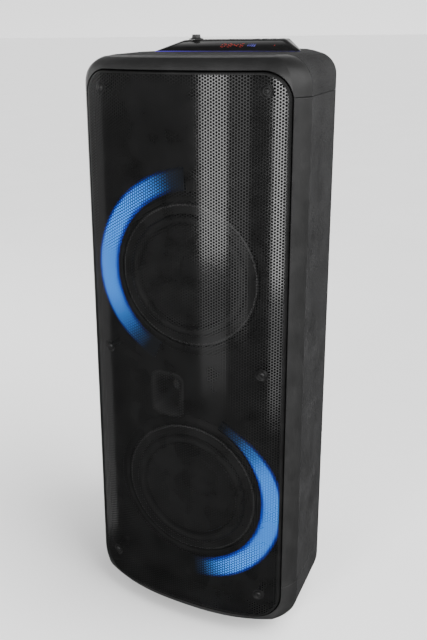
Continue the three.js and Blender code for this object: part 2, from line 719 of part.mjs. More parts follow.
// Seen from the side the rocker is a shallow V about its axle; at rest its lower half is pressed in.
function rocker() {
  const { x, z, width, height, tilt } = ROCKER;
  const half = height / 2 - 1.6;
  const profile = new THREE.Shape();
  profile.moveTo(half, 3.4);
  profile.lineTo(0, 1.6);
  profile.lineTo(-half, 3.4);
  profile.lineTo(-half, 1);
  profile.lineTo(-3.5, -4.2);
  profile.lineTo(3.5, -4.2);
  profile.lineTo(half, 1);
  const thickness = width - 1.2;
  const geometry = new THREE.ExtrudeGeometry(profile, { depth: thickness, bevelEnabled: false });
  geometry.translate(0, 0, -thickness / 2);
  // The outline's X becomes Z and its Y stays Y, so the rocker's length runs up the plate.
  geometry.rotateY(Math.PI / 2).rotateX(THREE.MathUtils.degToRad(tilt));
  return solidOf(geometry.translate(x, ROCKER_AXIS_Y, z));
}

function jackSocket(x, z) {
  const seat = PLATE_BACK_Y + GAP;
  const profile = [
    [JACK_R, 148],
    [6, 148],
    [6, seat],
    [8, seat],
    [8, seat + 1],
    [7, seat + 1.8],
    [JACK_R, seat + 1.8],
  ];
  return turnedY(profile, x, z, SMALL_SEGMENTS);
}

function usbPort() {
  const seat = PLATE_BACK_Y + GAP;
  const { x, z, width, height } = USB;
  const box = (margin, y0, y1) => {
    const halfX = width / 2 + margin;
    const halfZ = height / 2 + margin;
    return block(x - halfX, x + halfX, y0, y1, z - halfZ, z + halfZ);
  };
  return joinAll([box(1, 152, seat), box(2.5, seat, seat + 1)]).subtract(box(0, 155, FAR));
}

function amplifierBoard() {
  const board = block(-58, 58, 118, 119.6, 190, 330);
  const transformer = block(-50, -10, 90, 118.5, 200, 240);
  const capacitors = [0, 1, 2].map((i) => rodY(9, 88, 118.5, 12 + i * 20, 222));
  const heatSink = block(-44, 44, 119, 143, 262, 268);
  return joinAll([board, transformer, heatSink, ...capacitors]);
}

function powerSupply() {
  const board = block(-55, 55, 30, 112, 112, 114);
  const transformer = block(-30, 20, 45, 95, 113, 150);
  const filter = block(28, 50, 50, 90, 113, 138);
  return joinAll([board, transformer, filter]);
}

const batteryPack = () => prismUp(roundedRect(0, 45, 170, 90, 6), 26, 78);

function bassPort() {
  const { z, innerR, wall, frontY, flangeR } = PORT;
  const rearY = DEPTH / 2;
  const profile = [
    [innerR + 6, frontY],
    [innerR + 6 + wall, frontY + 2],
    [innerR + wall, frontY + 14],
    [innerR + wall, rearY - 2.6],
    [flangeR, rearY - 2.6],
    [flangeR, rearY - 1.2],
    [innerR + 7, rearY - 0.2],
    [innerR + 1.5, rearY - 6],
    [innerR, rearY - 14],
    [innerR, frontY + 14],
  ];
  return turnedY(profile, 0, z);
}

// ---------------------------------------------------------------- materials and assembly
function finish(color, roughness, metalness = 0) {
  return new THREE.MeshStandardMaterial({ color, roughness, metalness });
}

const MATERIALS = {
  cabinet: finish(0x3c3c3e, 0.65),
  cap: finish(0x2a2a2c, 0.55),
  baffle: finish(0x121213, 0.7),
  grille: finish(0x0d0d0e, 0.35, 0.8),
  steel: finish(0x8a8c90, 0.35, 0.9),
  black_steel: finish(0x141416, 0.4, 0.8),
  light: finish(0x3f8cff, 0.3),
  board: finish(0x14502c, 0.5),
  rubber: finish(0x161617, 0.85),
  paper: finish(0x19191b, 0.9),
  fabric: finish(0x8d6a2e, 0.9),
  copper: finish(0xb06a3a, 0.4, 0.8),
  ferrite: finish(0x2b2b2d, 0.7),
  gloss: finish(0x08080a, 0.12),
  plastic: finish(0x1b1b1d, 0.45),
  battery: finish(0x24365e, 0.5),
};

const speaker = new THREE.Group();

function addPart(name, solid, material) {
  const mesh = new THREE.Mesh(geometryOf(solid), MATERIALS[material]);
  mesh.name = name;
  speaker.add(mesh);
}

addPart("cabinet_shell", cabinetShell(), "cabinet");
addPart("top_cap", topCap(), "cap");
addPart("bottom_cap", bottomCap(), "cap");
addPart("front_baffle", frontBaffle(), "baffle");
addPart("grille", grille(), "grille");
screwPlaces.forEach(({ x, z }, i) => addPart(`grille_screw_${i + 1}`, grilleScrew(x, z), "black_steel"));
footPlaces.forEach(({ name, x, y }) => addPart(name, foot(x, y), "rubber"));

WOOFERS.forEach((woofer) => {
  const { level, z } = woofer;
  addPart(`${level}_light_guide`, lightGuide(woofer), "light");
  addPart(`${level}_led_board`, ledBoard(woofer), "board");
  addPart(`${level}_basket`, basket(z), "black_steel");
  addPart(`${level}_surround`, surround(z), "rubber");
  addPart(`${level}_cone`, cone(z), "paper");
  addPart(`${level}_dust_cap`, dustCap(z), "paper");
  addPart(`${level}_voice_coil`, voiceCoil(z), "copper");
  addPart(`${level}_spider`, spider(z), "fabric");
  addPart(`${level}_magnet`, magnet(z), "ferrite");
  addPart(`${level}_yoke`, yoke(z), "steel");
});

addPart("tweeter_horn", tweeterHorn(), "plastic");
addPart("tweeter_driver", tweeterDriver(), "black_steel");

addPart("control_panel", controlPanel(), "plastic");
addPart("display_window", displayWindow(), "gloss");
addPart("control_board", controlBoard(), "board");
addPart("volume_knob", volumeKnob(), "plastic");
buttonPlaces.forEach(({ name, x }) => addPart(`${name}_button`, panelButton(x), "rubber"));

addPart("amplifier_plate", amplifierPlate(), "black_steel");
ampScrewPlaces.forEach(({ x, z }, i) => addPart(`amplifier_screw_${i + 1}`, ampScrew(x, z), "steel"));
addPart("mains_inlet", mainsInlet(), "plastic");
addPart("power_switch_housing", rockerHousing(), "plastic");
addPart("power_rocker", rocker(), "gloss");
JACKS.forEach(({ name, x, z }) => addPart(name, jackSocket(x, z), "plastic"));
addPart("usb_port", usbPort(), "steel");
addPart("amplifier_board", amplifierBoard(), "board");
addPart("power_supply", powerSupply(), "board");
addPart("battery_pack", batteryPack(), "battery");
addPart("bass_port", bassPort(), "plastic");

export default speaker;
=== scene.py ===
"""Party speaker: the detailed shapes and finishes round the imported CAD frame.

Lengths in the making functions are millimetres; solid() turns them into metres. X runs to the right of
someone facing the grille, the front faces -Y and the feet stand on z = 0.
"""
import json
import math

import bmesh
import bpy
import numpy as np
from mathutils import Matrix, Vector


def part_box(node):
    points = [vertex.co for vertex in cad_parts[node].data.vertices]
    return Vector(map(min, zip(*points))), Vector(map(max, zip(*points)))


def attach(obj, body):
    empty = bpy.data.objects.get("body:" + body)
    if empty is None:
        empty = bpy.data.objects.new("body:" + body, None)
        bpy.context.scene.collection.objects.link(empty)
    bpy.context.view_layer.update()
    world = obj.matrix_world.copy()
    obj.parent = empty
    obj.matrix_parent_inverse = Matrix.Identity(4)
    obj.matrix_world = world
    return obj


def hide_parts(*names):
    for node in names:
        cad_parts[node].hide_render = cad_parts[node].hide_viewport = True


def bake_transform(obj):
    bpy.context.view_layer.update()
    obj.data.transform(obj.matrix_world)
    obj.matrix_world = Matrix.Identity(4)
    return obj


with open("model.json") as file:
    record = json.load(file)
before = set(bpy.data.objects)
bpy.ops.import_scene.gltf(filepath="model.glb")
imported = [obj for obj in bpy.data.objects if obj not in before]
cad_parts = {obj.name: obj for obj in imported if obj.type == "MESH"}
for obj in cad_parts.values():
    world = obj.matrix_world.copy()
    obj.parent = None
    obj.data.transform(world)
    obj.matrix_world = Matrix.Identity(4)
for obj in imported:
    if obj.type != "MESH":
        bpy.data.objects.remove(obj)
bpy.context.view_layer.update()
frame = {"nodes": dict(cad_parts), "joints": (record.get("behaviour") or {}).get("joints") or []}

MM = 0.001
FIT = 0.3  # clearance between pieces that are seated in each other
OUTSIDE = 300  # reach of a cutter past the object


# ------------------------------------------------------------------ places from the frame
class Place:
    """A CAD node's box in millimetres: its corners, middle and size."""

    def __init__(self, node):
        low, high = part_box(node)
        self.low, self.high = np.array(low) / MM, np.array(high) / MM
        self.x, self.y, self.z = (self.low + self.high) / 2
        self.size = self.high - self.low


SHELL, TOP_CAP, BOTTOM_CAP = Place("cabinet_shell"), Place("top_cap"), Place("bottom_cap")
GRILLE, PLATE = Place("grille"), Place("amplifier_plate")
PANEL, PORT = Place("control_panel"), Place("bass_port")
HALF_WIDTH, HALF_DEPTH = SHELL.high[:2]
DECK_Z = TOP_CAP.high[2]
BASE_Z = BOTTOM_CAP.low[2]
GRILLE_HALF = GRILLE.high[0]
GRILLE_HEIGHT = GRILLE.size[2]
BAFFLE_BACK_Y = Place("front_baffle").high[1]
BAFFLE_FRONT_Y = BAFFLE_BACK_Y - 12
LEVELS = {"upper": 1, "lower": -1}
WOOFER_Z = {level: Place(f"{level}_cone").z for level in LEVELS}
GRILLE_SCREWS = [Place(f"grille_screw_{i}") for i in range(1, 7)]
PLATE_SCREWS = [Place(f"amplifier_screw_{i}") for i in range(1, 5)]

# The cabinet's form, which repeats the CAD's at a finer step.
DECK_SIDE_FRONT, DECK_SIDE_REAR, DECK_EDGE = 42, 33, 26
BASE_SIDE, BASE_EDGE, BASE_CUT = 50, 18, 8
CREASE_Y = -112.5
TAPER_Y = 8
REAR_HALF = 108
REAR_ROUND = 28
CAVITY_FRONT_Y = -108
CABINET_WALL = 8
CAP_WALL = 5
GRILLE_CORNER = 38
GRILLE_EDGE_Y = -142
GRILLE_BOW = GRILLE_EDGE_Y - GRILLE.low[1]
BOW_POWER = 2.5
MOUTH_REVEAL = 1.4
MOUTH_ROUND = 1.3
CREASE_GROOVE = 0.7
SEAM_LIP = 0.9


# ------------------------------------------------------------------ mesh making
def solid(name, points, faces, materials, face_slots=None):
    """A closed mesh object from points in millimetres, its faces turned to point out."""
    mesh = bpy.data.meshes.new(name)
    mesh.from_pydata((np.asarray(points, float) * MM).tolist(), [], faces)
    for material in materials:
        mesh.materials.append(material)
    if face_slots is not None:
        mesh.polygons.foreach_set("material_index", face_slots)
    shape = bmesh.new()
    shape.from_mesh(mesh)
    bmesh.ops.recalc_face_normals(shape, faces=shape.faces)
    shape.to_mesh(mesh)
    shape.free()
    return linked(name, mesh)


def linked(name, data):
    """A new object in the scene."""
    obj = bpy.data.objects.new(name, data)
    bpy.context.scene.collection.objects.link(obj)
    return obj


def split_across(obj, places):
    """Splits the faces at planes across X, so that no face of a later cut has a hole inside it."""
    shape = bmesh.new()
    shape.from_mesh(obj.data)
    for x in places:
        everything = [*shape.verts, *shape.edges, *shape.faces]
        bmesh.ops.bisect_plane(shape, geom=everything, plane_co=(x * MM, 0, 0), plane_no=(1, 0, 0))
    shape.to_mesh(obj.data)
    shape.free()


def painted(obj, index):
    """The object with all its faces in one of its materials."""
    obj.data.polygons.foreach_set("material_index", [index] * len(obj.data.polygons))
    return obj


def store(obj, name, values):
    """Keeps a value for each point on the mesh, for its finish to read."""
    obj.data.attributes.new(name, "FLOAT", "POINT").data.foreach_set("value", np.array(values, np.float32))


def carve(obj, tools, operation="DIFFERENCE"):
    """Cuts the tools out of obj, or joins them to it, and removes them."""
    for cutter in tools:
        step = obj.modifiers.new("carve", "BOOLEAN")
        step.operation = operation
        step.solver = "MANIFOLD"
        step.object = cutter
    graph = bpy.context.evaluated_depsgraph_get()
    carved = bpy.data.meshes.new_from_object(obj.evaluated_get(graph))
    obj.modifiers.clear()
    obj.data = carved
    for cutter in tools:
        bpy.data.objects.remove(cutter)
    return obj


def smoothed(obj, sharp):
    """Smooths the shading up to an angle."""
    obj.data.shade_smooth()
    obj.data.set_sharp_from_angle(angle=math.radians(sharp))
    return obj


def finished(obj, slot, replaces=None, body="cabinet", sharp=30):
    """Smooths the piece and puts it on its body and in place of a CAD node. slot is not used."""
    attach(smoothed(obj, sharp), body)
    if replaces:
        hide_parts(replaces)


def piece(name, shape, material, slot, replaces=None, joins=(), cuts=(), **settings):
    """A finished piece: a shape with others joined to it and cut out of it."""
    made = solid(name, *shape, [material])
    if joins:
        carve(made, [tool(join, [material]) for join in joins], "UNION")
    if cuts:
        carve(made, [tool(cut) for cut in cuts])
    finished(made, slot, replaces, **settings)
    return made


def upright(flat, y):
    """An outline of (x, z) points stood up at one depth, or at a depth for each point."""
    return np.column_stack([flat[:, 0], np.broadcast_to(y, len(flat)), flat[:, 1]])


def level_at(flat, z):
    """An outline of (x, y) points laid at a height."""
    return np.column_stack([flat, np.full(len(flat), float(z))])


def lofted(rings, closed=False):
    """Points and faces through rings of equal length. closed joins the last ring to the first."""
    count = len(rings[0])
    points = np.concatenate(rings)
    faces = []
    for level in range(len(rings) if closed else len(rings) - 1):
        low, high = level * count, (level + 1) % len(rings) * count
        for i in range(count):
            j = (i + 1) % count
            faces.append((low + i, low + j, high + j, high + i))
    if not closed:
        faces.append(tuple(range(count - 1, -1, -1)))
        faces.append(tuple(range(len(points) - count, len(points))))
    return points, faces


def turned(profile, centre, axis="y", segments=96, ripple=None):
    """Points and faces of a profile of (radius, height) turned round an axis through centre.

    The profile closes on itself, or starts and ends on the axis. ripple(radius, height, angle) may change
    the radius round the turn.
    """
    points, rows = [], []
    angles = np.arange(segments) * 2 * math.pi / segments
    for radius, height in profile:
        off_axis = radius > 1e-6
        rows.append((len(points), off_axis))
        for angle in angles if off_axis else (0,):
            r = ripple(radius, height, angle) if ripple else radius
            u, v = centre[0] + r * math.cos(angle), centre[1] + r * math.sin(angle)
            points.append((u, height, v) if axis == "y" else (u, v, height))
    pairs = list(zip(rows, rows[1:]))
    if rows[0][1] and rows[-1][1]:
        pairs.append((rows[-1], rows[0]))
    faces = []
    for (low, low_open), (high, high_open) in pairs:
        for i in range(segments):
            j = (i + 1) % segments
            if low_open and high_open:
                faces.append((low + i, low + j, high + j, high + i))
            elif low_open:
                faces.append((low + i, low + j, high))
            elif high_open:
                faces.append((low, high + j, high + i))
    return np.array(points), faces


def rod(radius, x, z, y0, y1, segments=48):
    """Points and faces of a straight rod along Y."""
    return turned([(0, y0), (radius, y0), (radius, y1), (0, y1)], (x, z), segments=segments)


def filleted(corners, radius, steps=4, closed=True):
    """The outline with each corner rounded, as far as its edges leave room."""
    corners = [np.array(c, float) for c in corners]
    count = len(corners)
    result = []
    for i, corner in enumerate(corners):
        if not closed and i in (0, count - 1):
            result.append(corner)
            continue
        edges = corners[i - 1] - corner, corners[(i + 1) % count] - corner
        lengths = [np.linalg.norm(edge) for edge in edges]
        reach = min(radius, 0.45 * min(lengths))
        start, end = (corner + edge / length * reach for edge, length in zip(edges, lengths))
        result.extend(curve(start, corner, end, steps))
    return np.array(result)


def curve(start, control, end, steps):
    """Points of a quadratic curve."""
    t = np.linspace(0, 1, steps + 1)[:, None]
    return (1 - t) ** 2 * np.array(start) + 2 * t * (1 - t) * np.array(control) + t**2 * np.array(end)


def rounded_rect(cx, cy, width, height, corner, steps=8):
    """Anticlockwise points of a rectangle with round corners."""
    points = []
    for quarter, (sx, sy) in enumerate([(1, -1), (1, 1), (-1, 1), (-1, -1)]):
        for angle in np.radians(-90 + 90 * quarter + 90 * np.arange(steps + 1) / steps):
            x = cx + sx * (width / 2 - corner) + corner * math.cos(angle)
            y = cy + sy * (height / 2 - corner) + corner * math.sin(angle)
            points.append((x, y))
    return np.array(points)


def densified(outline, step):
    """The closed outline with its long edges cut into steps."""
    points = []
    for a, b in zip(outline, np.roll(outline, -1, axis=0)):
        parts = max(1, math.ceil(np.linalg.norm(b - a) / step))
        points.extend(a + (b - a) * k / parts for k in range(parts))
    return np.array(points)


def grown(outline, distance):
    """The anticlockwise outline moved outwards along its own normals."""
    along = np.roll(outline, -1, axis=0) - np.roll(outline, 1, axis=0)
    along /= np.linalg.norm(along, axis=1, keepdims=True)
    return outline + distance * np.stack([along[:, 1], -along[:, 0]], axis=1)


def slab(outline, low, high, edge=0.0, axis="y", steps=3):
    """Points and faces of a flat outline between two depths, its edges rounded over."""
    sections = [(low, 0), (high, 0)]
    if edge:
        angles = [math.pi / 2 * k / steps for k in range(steps + 1)]
        sections = [(low + edge * (1 - math.cos(a)), -edge * (1 - math.sin(a))) for a in angles]
        sections += [(high - edge * (1 - math.cos(a)), -edge * (1 - math.sin(a))) for a in reversed(angles)]
    stand = upright if axis == "y" else level_at
    return lofted([stand(grown(outline, growth), depth) for depth, growth in sections])


def plug(x, z, width, height, corner, steps, low, high, edge=0.0):
    """Points and faces of a round-cornered block along Y."""
    return slab(rounded_rect(x, z, width, height, corner, steps), low, high, edge)


def tool(shape, materials=()):
    """A solid that only cuts or joins."""
    return solid("tool", *shape, materials)


def merged(*shapes):
    """Several (points, faces) as one."""
    faces, count = [], 0
    for points, shape_faces in shapes:
        faces.extend(tuple(i + count for i in face) for face in shape_faces)
        count += len(points)
    return np.concatenate([points for points, _ in shapes]), faces


# ------------------------------------------------------------------ finishes
def add_node(tree, kind, inputs=None, **settings):
    """A shader node with its inputs set or linked."""
    made = tree.nodes.new(kind)
    for name, value in settings.items():
        setattr(made, name, value)
    for name, value in (inputs or {}).items():
        if isinstance(value, bpy.types.NodeSocket):
            tree.links.new(value, made.inputs[name])
        else:
            made.inputs[name].default_value = value
    return made


def grey(value, tint=(1.0, 1.0, 1.0)):
    """A linear grey with a slight tint."""
    return tuple(value * t for t in tint)


class Finish:
    """A material's node tree, with short ways to add what the finishes share."""

    def __init__(self, name, roughness=0.5, metallic=0.0, specular=0.5, **sockets):
        self.material = bpy.data.materials.new(name)
        self.material.use_nodes = True
        self.tree = self.material.node_tree
        self.shader = self.tree.nodes["Principled BSDF"]
        sockets |= {"Roughness": roughness, "Metallic": metallic, "Specular_IOR_Level": specular}
        for socket, value in sockets.items():
            self.shader.inputs[socket.replace("_", " ")].default_value = value
        self.place = self.node("ShaderNodeTexCoord").outputs["Object"]

    def node(self, kind, inputs=None, **settings):
        return add_node(self.tree, kind, inputs, **settings)

    def noise(self, size, detail=3.0, stretch=None):
        """Noise whose patches are about size millimetres across."""
        place = self.place
        if stretch:
            place = self.node("ShaderNodeMapping", {"Vector": place, "Scale": stretch}).outputs[0]
        inputs = {"Vector": place, "Scale": 1 / (size * MM), "Detail": detail}
        return self.node("ShaderNodeTexNoise", inputs).outputs["Fac"]

    def cells(self, size, feature="F1"):
        """Distance inside cells about size millimetres across."""
        inputs = {"Vector": self.place, "Scale": 1 / (size * MM)}
        return self.node("ShaderNodeTexVoronoi", inputs, feature=feature).outputs["Distance"]

    def wave(self, size, direction, distortion):
        """Bands across a direction, about 0.31 of size millimetres apart."""
        inputs = {"Vector": self.place, "Scale": 1 / (size * MM), "Distortion": distortion}
        return self.node("ShaderNodeTexWave", inputs, bands_direction=direction).outputs["Fac"]

    def drawn(self, name):
        """A value stored on the mesh."""
        return self.node("ShaderNodeAttribute", attribute_name=name).outputs["Fac"]

    def ramp(self, source, *stops):
        """Colours along a value, from (position, (r, g, b)) stops."""
        made = self.node("ShaderNodeValToRGB", {"Fac": source})
        elements = made.color_ramp.elements
        while len(elements) < len(stops):
            elements.new(0.5)
        for element, (position, colour) in zip(elements, stops):
            element.position = position
            element.color = (*colour, 1)
        return made.outputs["Color"]

    def spread(self, source, low, high, at=(0.3, 0.7)):
        """A value carried from one range to another."""
        inputs = {"Value": source, "From Min": at[0], "From Max": at[1], "To Min": low, "To Max": high}
        return self.node("ShaderNodeMapRange", inputs).outputs["Result"]

    def sum(self, first, second, weight):
        """first plus weight times second."""
        inputs = {0: second, 1: weight, 2: first}
        return self.node("ShaderNodeMath", inputs, operation="MULTIPLY_ADD").outputs["Value"]

    def product(self, first, second):
        return self.node("ShaderNodeMath", {0: first, 1: second}, operation="MULTIPLY").outputs[0]

    def into(self, source, socket):
        self.tree.links.new(source, self.shader.inputs[socket])

    def colour(self, source, *stops):
        self.into(self.ramp(source, *stops), "Base Color")

    def gloss(self, source, low, high):
        self.into(self.spread(source, low, high), "Roughness")

    def bump(self, height, depth):
        """Relief of about depth millimetres."""
        made = self.node("ShaderNodeBump", {"Height": height, "Distance": depth * MM, "Strength": 1.0})
        self.into(made.outputs["Normal"], "Normal")


def moulded(name, dark, light, rough=(0.4, 0.5), grain=0.8, depth=0.04, cloud=30, **shader):
    """Moulded, cast or painted stuff: clouded colour, uneven gloss and a fine grain."""
    finish = Finish(name, **shader)
    finish.colour(finish.noise(cloud, 4), (0.3, dark), (0.7, light))
    finish.gloss(finish.noise(cloud / 3, 5), *rough)
    finish.bump(finish.sum(finish.noise(grain, 2), finish.noise(grain * 4, 2), 0.5), depth)
    return finish.material


def leather_grain(name, dark, light):
    """Pressed vinyl: small pebbles with painted shade darkening the valleys between them, a little worn in
    patches.
    """
    finish = Finish(name, specular=0.06)
    pebbles = finish.cells(1.7, "SMOOTH_F1")
    mottle = finish.spread(finish.noise(2.6, 3), 0.0, 1.0, at=(0.36, 0.64))
    worn = finish.sum(finish.spread(finish.noise(45, 4), 0.36, 0.5), mottle, 0.18)
    # painted shade: the colour darkens where the pebbles' bump sinks into its valleys
    finish.colour(finish.sum(worn, pebbles, -0.3), (0.2, dark), (0.72, light))
    finish.gloss(finish.sum(worn, pebbles, 0.3), 0.55, 0.68)
    finish.bump(finish.sum(finish.sum(finish.noise(0.5, 2), pebbles, -1.6), finish.noise(9, 3), 0.6), 0.16)
    return finish.material


def brushed_steel(name, dark, light):
    """Bare metal with fine drawn lines."""
    finish = Finish(name, metallic=1.0)
    lines = finish.noise(2.0, 4, stretch=(1, 1, 12))
    finish.colour(lines, (0.3, dark), (0.7, light))
    finish.gloss(lines, 0.25, 0.4)
    finish.bump(lines, 0.01)
    return finish.material


def paper_pulp(name, dark, light):
    """Pressed paper: short fibres and a soft mottling."""
    finish = Finish(name, specular=0.08)
    fibres = finish.noise(1.2, 5, stretch=(1, 3, 1))
    finish.colour(fibres, (0.35, dark), (0.65, light))
    finish.gloss(finish.noise(14), 0.75, 0.95)
    finish.bump(finish.sum(fibres, finish.noise(3), 0.7), 0.08)
    return finish.material


def woven(name, dark, light):
    """Resin-dipped cloth: two sets of threads at right angles."""
    finish = Finish(name, specular=0.3)
    threads = finish.sum(finish.wave(2.2, "X", 0.4), finish.wave(2.2, "Z", 0.4), 1.0)
    finish.colour(threads, (0.2, dark), (1.0, light))
    finish.gloss(finish.noise(8), 0.7, 0.9)
    finish.bump(threads, 0.1)
    return finish.material


def copper_winding(name):
    """Fine enamelled wire, wound round Y."""
    finish = Finish(name, metallic=1.0)
    turns = finish.wave(2.1, "Y", 0.0)
    finish.colour(turns, (0.1, (0.2, 0.06, 0.02)), (0.8, (0.62, 0.26, 0.1)))
    finish.gloss(finish.noise(6), 0.3, 0.45)
    finish.bump(turns, 0.05)
    return finish.material


def circuit_board(name):
    """Solder mask over copper tracks, with tinned pads."""
    finish = Finish(name, roughness=0.4)
    tracks = finish.cells(6, "DISTANCE_TO_EDGE")
    mask = finish.ramp(tracks, (0.05, (0.02, 0.11, 0.05)), (0.09, (0.006, 0.045, 0.02)))
    pads = finish.spread(finish.cells(4.2), 1.0, 0.0, at=(0.10, 0.13))
    colour = finish.node("ShaderNodeMix", {"Factor": pads, "A": mask}, data_type="RGBA")
    colour.inputs[7].default_value = (0.55, 0.55, 0.5, 1)
    finish.into(colour.outputs[2], "Base Color")
    finish.into(pads, "Metallic")
    finish.gloss(finish.noise(11), 0.35, 0.5)
    finish.bump(tracks, 0.05)
    return finish.material


def light_lens(name, strength):
    """The glowing crescent: light blue down its middle, deep blue at its edges and fading at its ends. Its
    base colour carries a painted glow, blue where it is lit and near black where the glow fades.
    """
    finish = Finish(name, specular=0.04)
    across, along, speckle = finish.drawn("across"), finish.drawn("along"), finish.noise(9, 3)
    deep, azure, core = (0.0, 0.01, 1.0), (0.005, 0.08, 1.0), (0.05, 0.3, 1.0)
    place = finish.sum(across, speckle, 0.1)
    stops = ((0.06, deep), (0.13, azure), (0.24, core), (0.88, core), (0.97, azure), (1.03, deep))
    finish.into(finish.ramp(place, *stops), "Emission Color")
    # painted glow: the base colour turns blue where the arc glows and near black where it fades
    finish.colour(along, (0.1, (0.002, 0.003, 0.005)), (0.6, (0.002, 0.015, 0.08)))
    weak, half, full = grey(0.1), grey(0.5), grey(1.0)
    stops = ((0.06, weak), (0.16, half), (0.3, full), (0.85, full), (0.95, half), (1.03, weak))
    level = finish.ramp(place, *stops)
    finish.into(finish.product(finish.product(along, level), strength), "Emission Strength")
    finish.bump(speckle, 0.05)
    return finish.material


def glowing(name, colour, strength):
    """A small lit mark, a little uneven."""
    finish = Finish(name, roughness=0.3, Emission_Color=(*colour, 1))
    finish.into(finish.spread(finish.noise(2.5, 2), strength * 0.75, strength * 1.1), "Emission Strength")
    finish.colour(finish.noise(3), (0.3, grey(0.01)), (0.7, colour))
    return finish.material


def edge_glow(name):
    """Light that runs along the panel's foot, as strong as the mesh says."""
    finish = Finish(name, roughness=0.3, Emission_Color=(0.13, 0.06, 1.0, 1))
    finish.into(finish.drawn("along"), "Emission Strength")
    finish.colour(finish.noise(4), (0.3, grey(0.02)), (0.7, (0.05, 0.04, 0.2)))
    return finish.material


def moulded_grey(name, dark, light, low_rough, high_rough, **settings):
    """Moulded stuff between two greys."""
    return moulded(name, grey(dark), grey(light), (low_rough, high_rough), **settings)


VINYL = leather_grain("vinyl", grey(0.008), grey(0.043, (1.0, 1.0, 1.02)))
BEZEL = moulded_grey("bezel_plastic", 0.009, 0.015, 0.42, 0.5, grain=0.6, depth=0.03, specular=0.2)
INNER = moulded_grey("inner_plastic", 0.004, 0.007, 0.6, 0.75, specular=0.1)
BAFFLE = moulded_grey("baffle_plastic", 0.002, 0.004, 0.35, 0.5, grain=0.9, specular=0.04)
GRILLE_PAINT = moulded_grey("grille_paint", 0.004, 0.008, 0.09, 0.13, grain=0.5, depth=0.005, specular=0.17)
# The grille paint again, a shade darker and duller, for the hem and the screw cups: the darker colour is
# painted shade, the duller gloss is its roughness.
EDGE_SHADED_PAINT = moulded_grey("grille_edge_shaded_paint", 0.003, 0.006, 0.4, 0.5, grain=0.5, specular=0.08)
SCREW_BLACK = moulded_grey("black_screw", 0.005, 0.01, 0.3, 0.42, grain=0.4, specular=0.14)
RUBBER = moulded_grey("rubber", 0.012, 0.022, 0.7, 0.9, grain=0.5, depth=0.06, specular=0.3)
SURROUND = moulded_grey("surround_rubber", 0.003, 0.006, 0.45, 0.6, grain=0.7, specular=0.08)
PAPER = paper_pulp("cone_paper", grey(0.003), grey(0.007))
SPIDER = woven("spider_cloth", (0.22, 0.13, 0.04), (0.42, 0.28, 0.1))
COPPER = copper_winding("voice_coil_wire")
FERRITE = moulded_grey("ferrite", 0.012, 0.022, 0.6, 0.8, grain=1.2, depth=0.08, specular=0.15)
STEEL = brushed_steel("bare_steel", grey(0.35), grey(0.55))
BLACK_STEEL = moulded_grey("black_steel", 0.012, 0.02, 0.42, 0.55, grain=1.0, specular=0.22)
BLACK_PLASTIC = moulded_grey("black_plastic", 0.005, 0.01, 0.45, 0.6, grain=0.6, specular=0.1)
PANEL_GREY = moulded_grey("panel_plastic", 0.026, 0.04, 0.6, 0.7, grain=0.6, depth=0.05, specular=0.1)
PANEL_FRONT = moulded_grey("panel_front", 0.008, 0.013, 0.3, 0.4, grain=0.6, depth=0.02, specular=0.1)
GLOSS = moulded_grey("display_gloss", 0.008, 0.013, 0.08, 0.16, grain=2.0, depth=0.004, specular=0.25)
KNOB_BLACK = moulded_grey("knob_plastic", 0.010, 0.018, 0.35, 0.5, grain=0.5)
KEY_RUBBER = moulded_grey("key_rubber", 0.012, 0.02, 0.55, 0.7, grain=0.5)
MARK_WHITE = moulded_grey("mark_white", 0.45, 0.6, 0.5, 0.6, grain=0.5, depth=0.01)
BOARD = circuit_board("circuit_board")
BATTERY = moulded("battery_wrap", (0.015, 0.03, 0.12), (0.03, 0.06, 0.2), rough=(0.3, 0.45), depth=0.06)
LENS = light_lens("light_guide", 1.75)
DIGIT_LIT = glowing("digit_lit", (0.7, 0.03, 0.015), 0.2)
DIGIT_BLUE = glowing("digit_blue", (0.12, 0.12, 0.6), 0.12)
EDGE_GLOW = edge_glow("edge_glow")


# ------------------------------------------------------------------ cabinet form
BEZEL_START = (GRILLE_HALF, GRILLE_EDGE_Y)
BEZEL_CONTROL = (172.5, -129.9)
BEZEL_END = (HALF_WIDTH, CREASE_Y)


def bow_y(x):
    """Depth of the bowed front at a distance from the middle."""
    return GRILLE_EDGE_Y - GRILLE_BOW * (1 - np.abs(np.asarray(x, float) / GRILLE_HALF) ** BOW_POWER)


def sheet_y(x):
    """Depth of the bowed front, held level past the grille's edge."""
    return bow_y(np.minimum(np.abs(x), GRILLE_HALF))


def plan_outline():
    """The cabinet's outline in plan, anticlockwise from the middle of the front."""
    across = np.linspace(0, GRILLE_HALF, 33)
    front = np.stack([across, bow_y(across)], axis=1)
    bezel = curve(BEZEL_START, BEZEL_CONTROL, BEZEL_END, 14)[1:]
    bezel[-1] = (HALF_WIDTH - 0.2, CREASE_Y - CREASE_GROOVE)
    groove = [(HALF_WIDTH - CREASE_GROOVE, CREASE_Y)]
    side = [(HALF_WIDTH, y) for y in np.linspace(CREASE_Y + CREASE_GROOVE, TAPER_Y - 10, 10)]
    bend_at, corner_at = np.array([HALF_WIDTH, TAPER_Y]), np.array([REAR_HALF, HALF_DEPTH])
    along = (corner_at - bend_at) / np.linalg.norm(corner_at - bend_at)
    bend = curve(side[-1], bend_at, bend_at + 10 * along, 8)[1:]
    before, after = corner_at - 0.8 * REAR_ROUND * along, corner_at - np.array([0.8 * REAR_ROUND, 0])
    taper = bend[-1] + (before - bend[-1]) * np.linspace(0, 1, 6)[1:-1, None]
    corner = curve(before, corner_at, after, 14)
    right = np.concatenate([front, bezel, groove, side, bend, taper, corner])
    return np.concatenate([right, right[1:][::-1] * (-1, 1)])


PLAN = plan_outline()
PLAN_IS_BEZEL = np.maximum(PLAN[:, 1], np.roll(PLAN[:, 1], -1)) < CREASE_Y - CREASE_GROOVE / 2


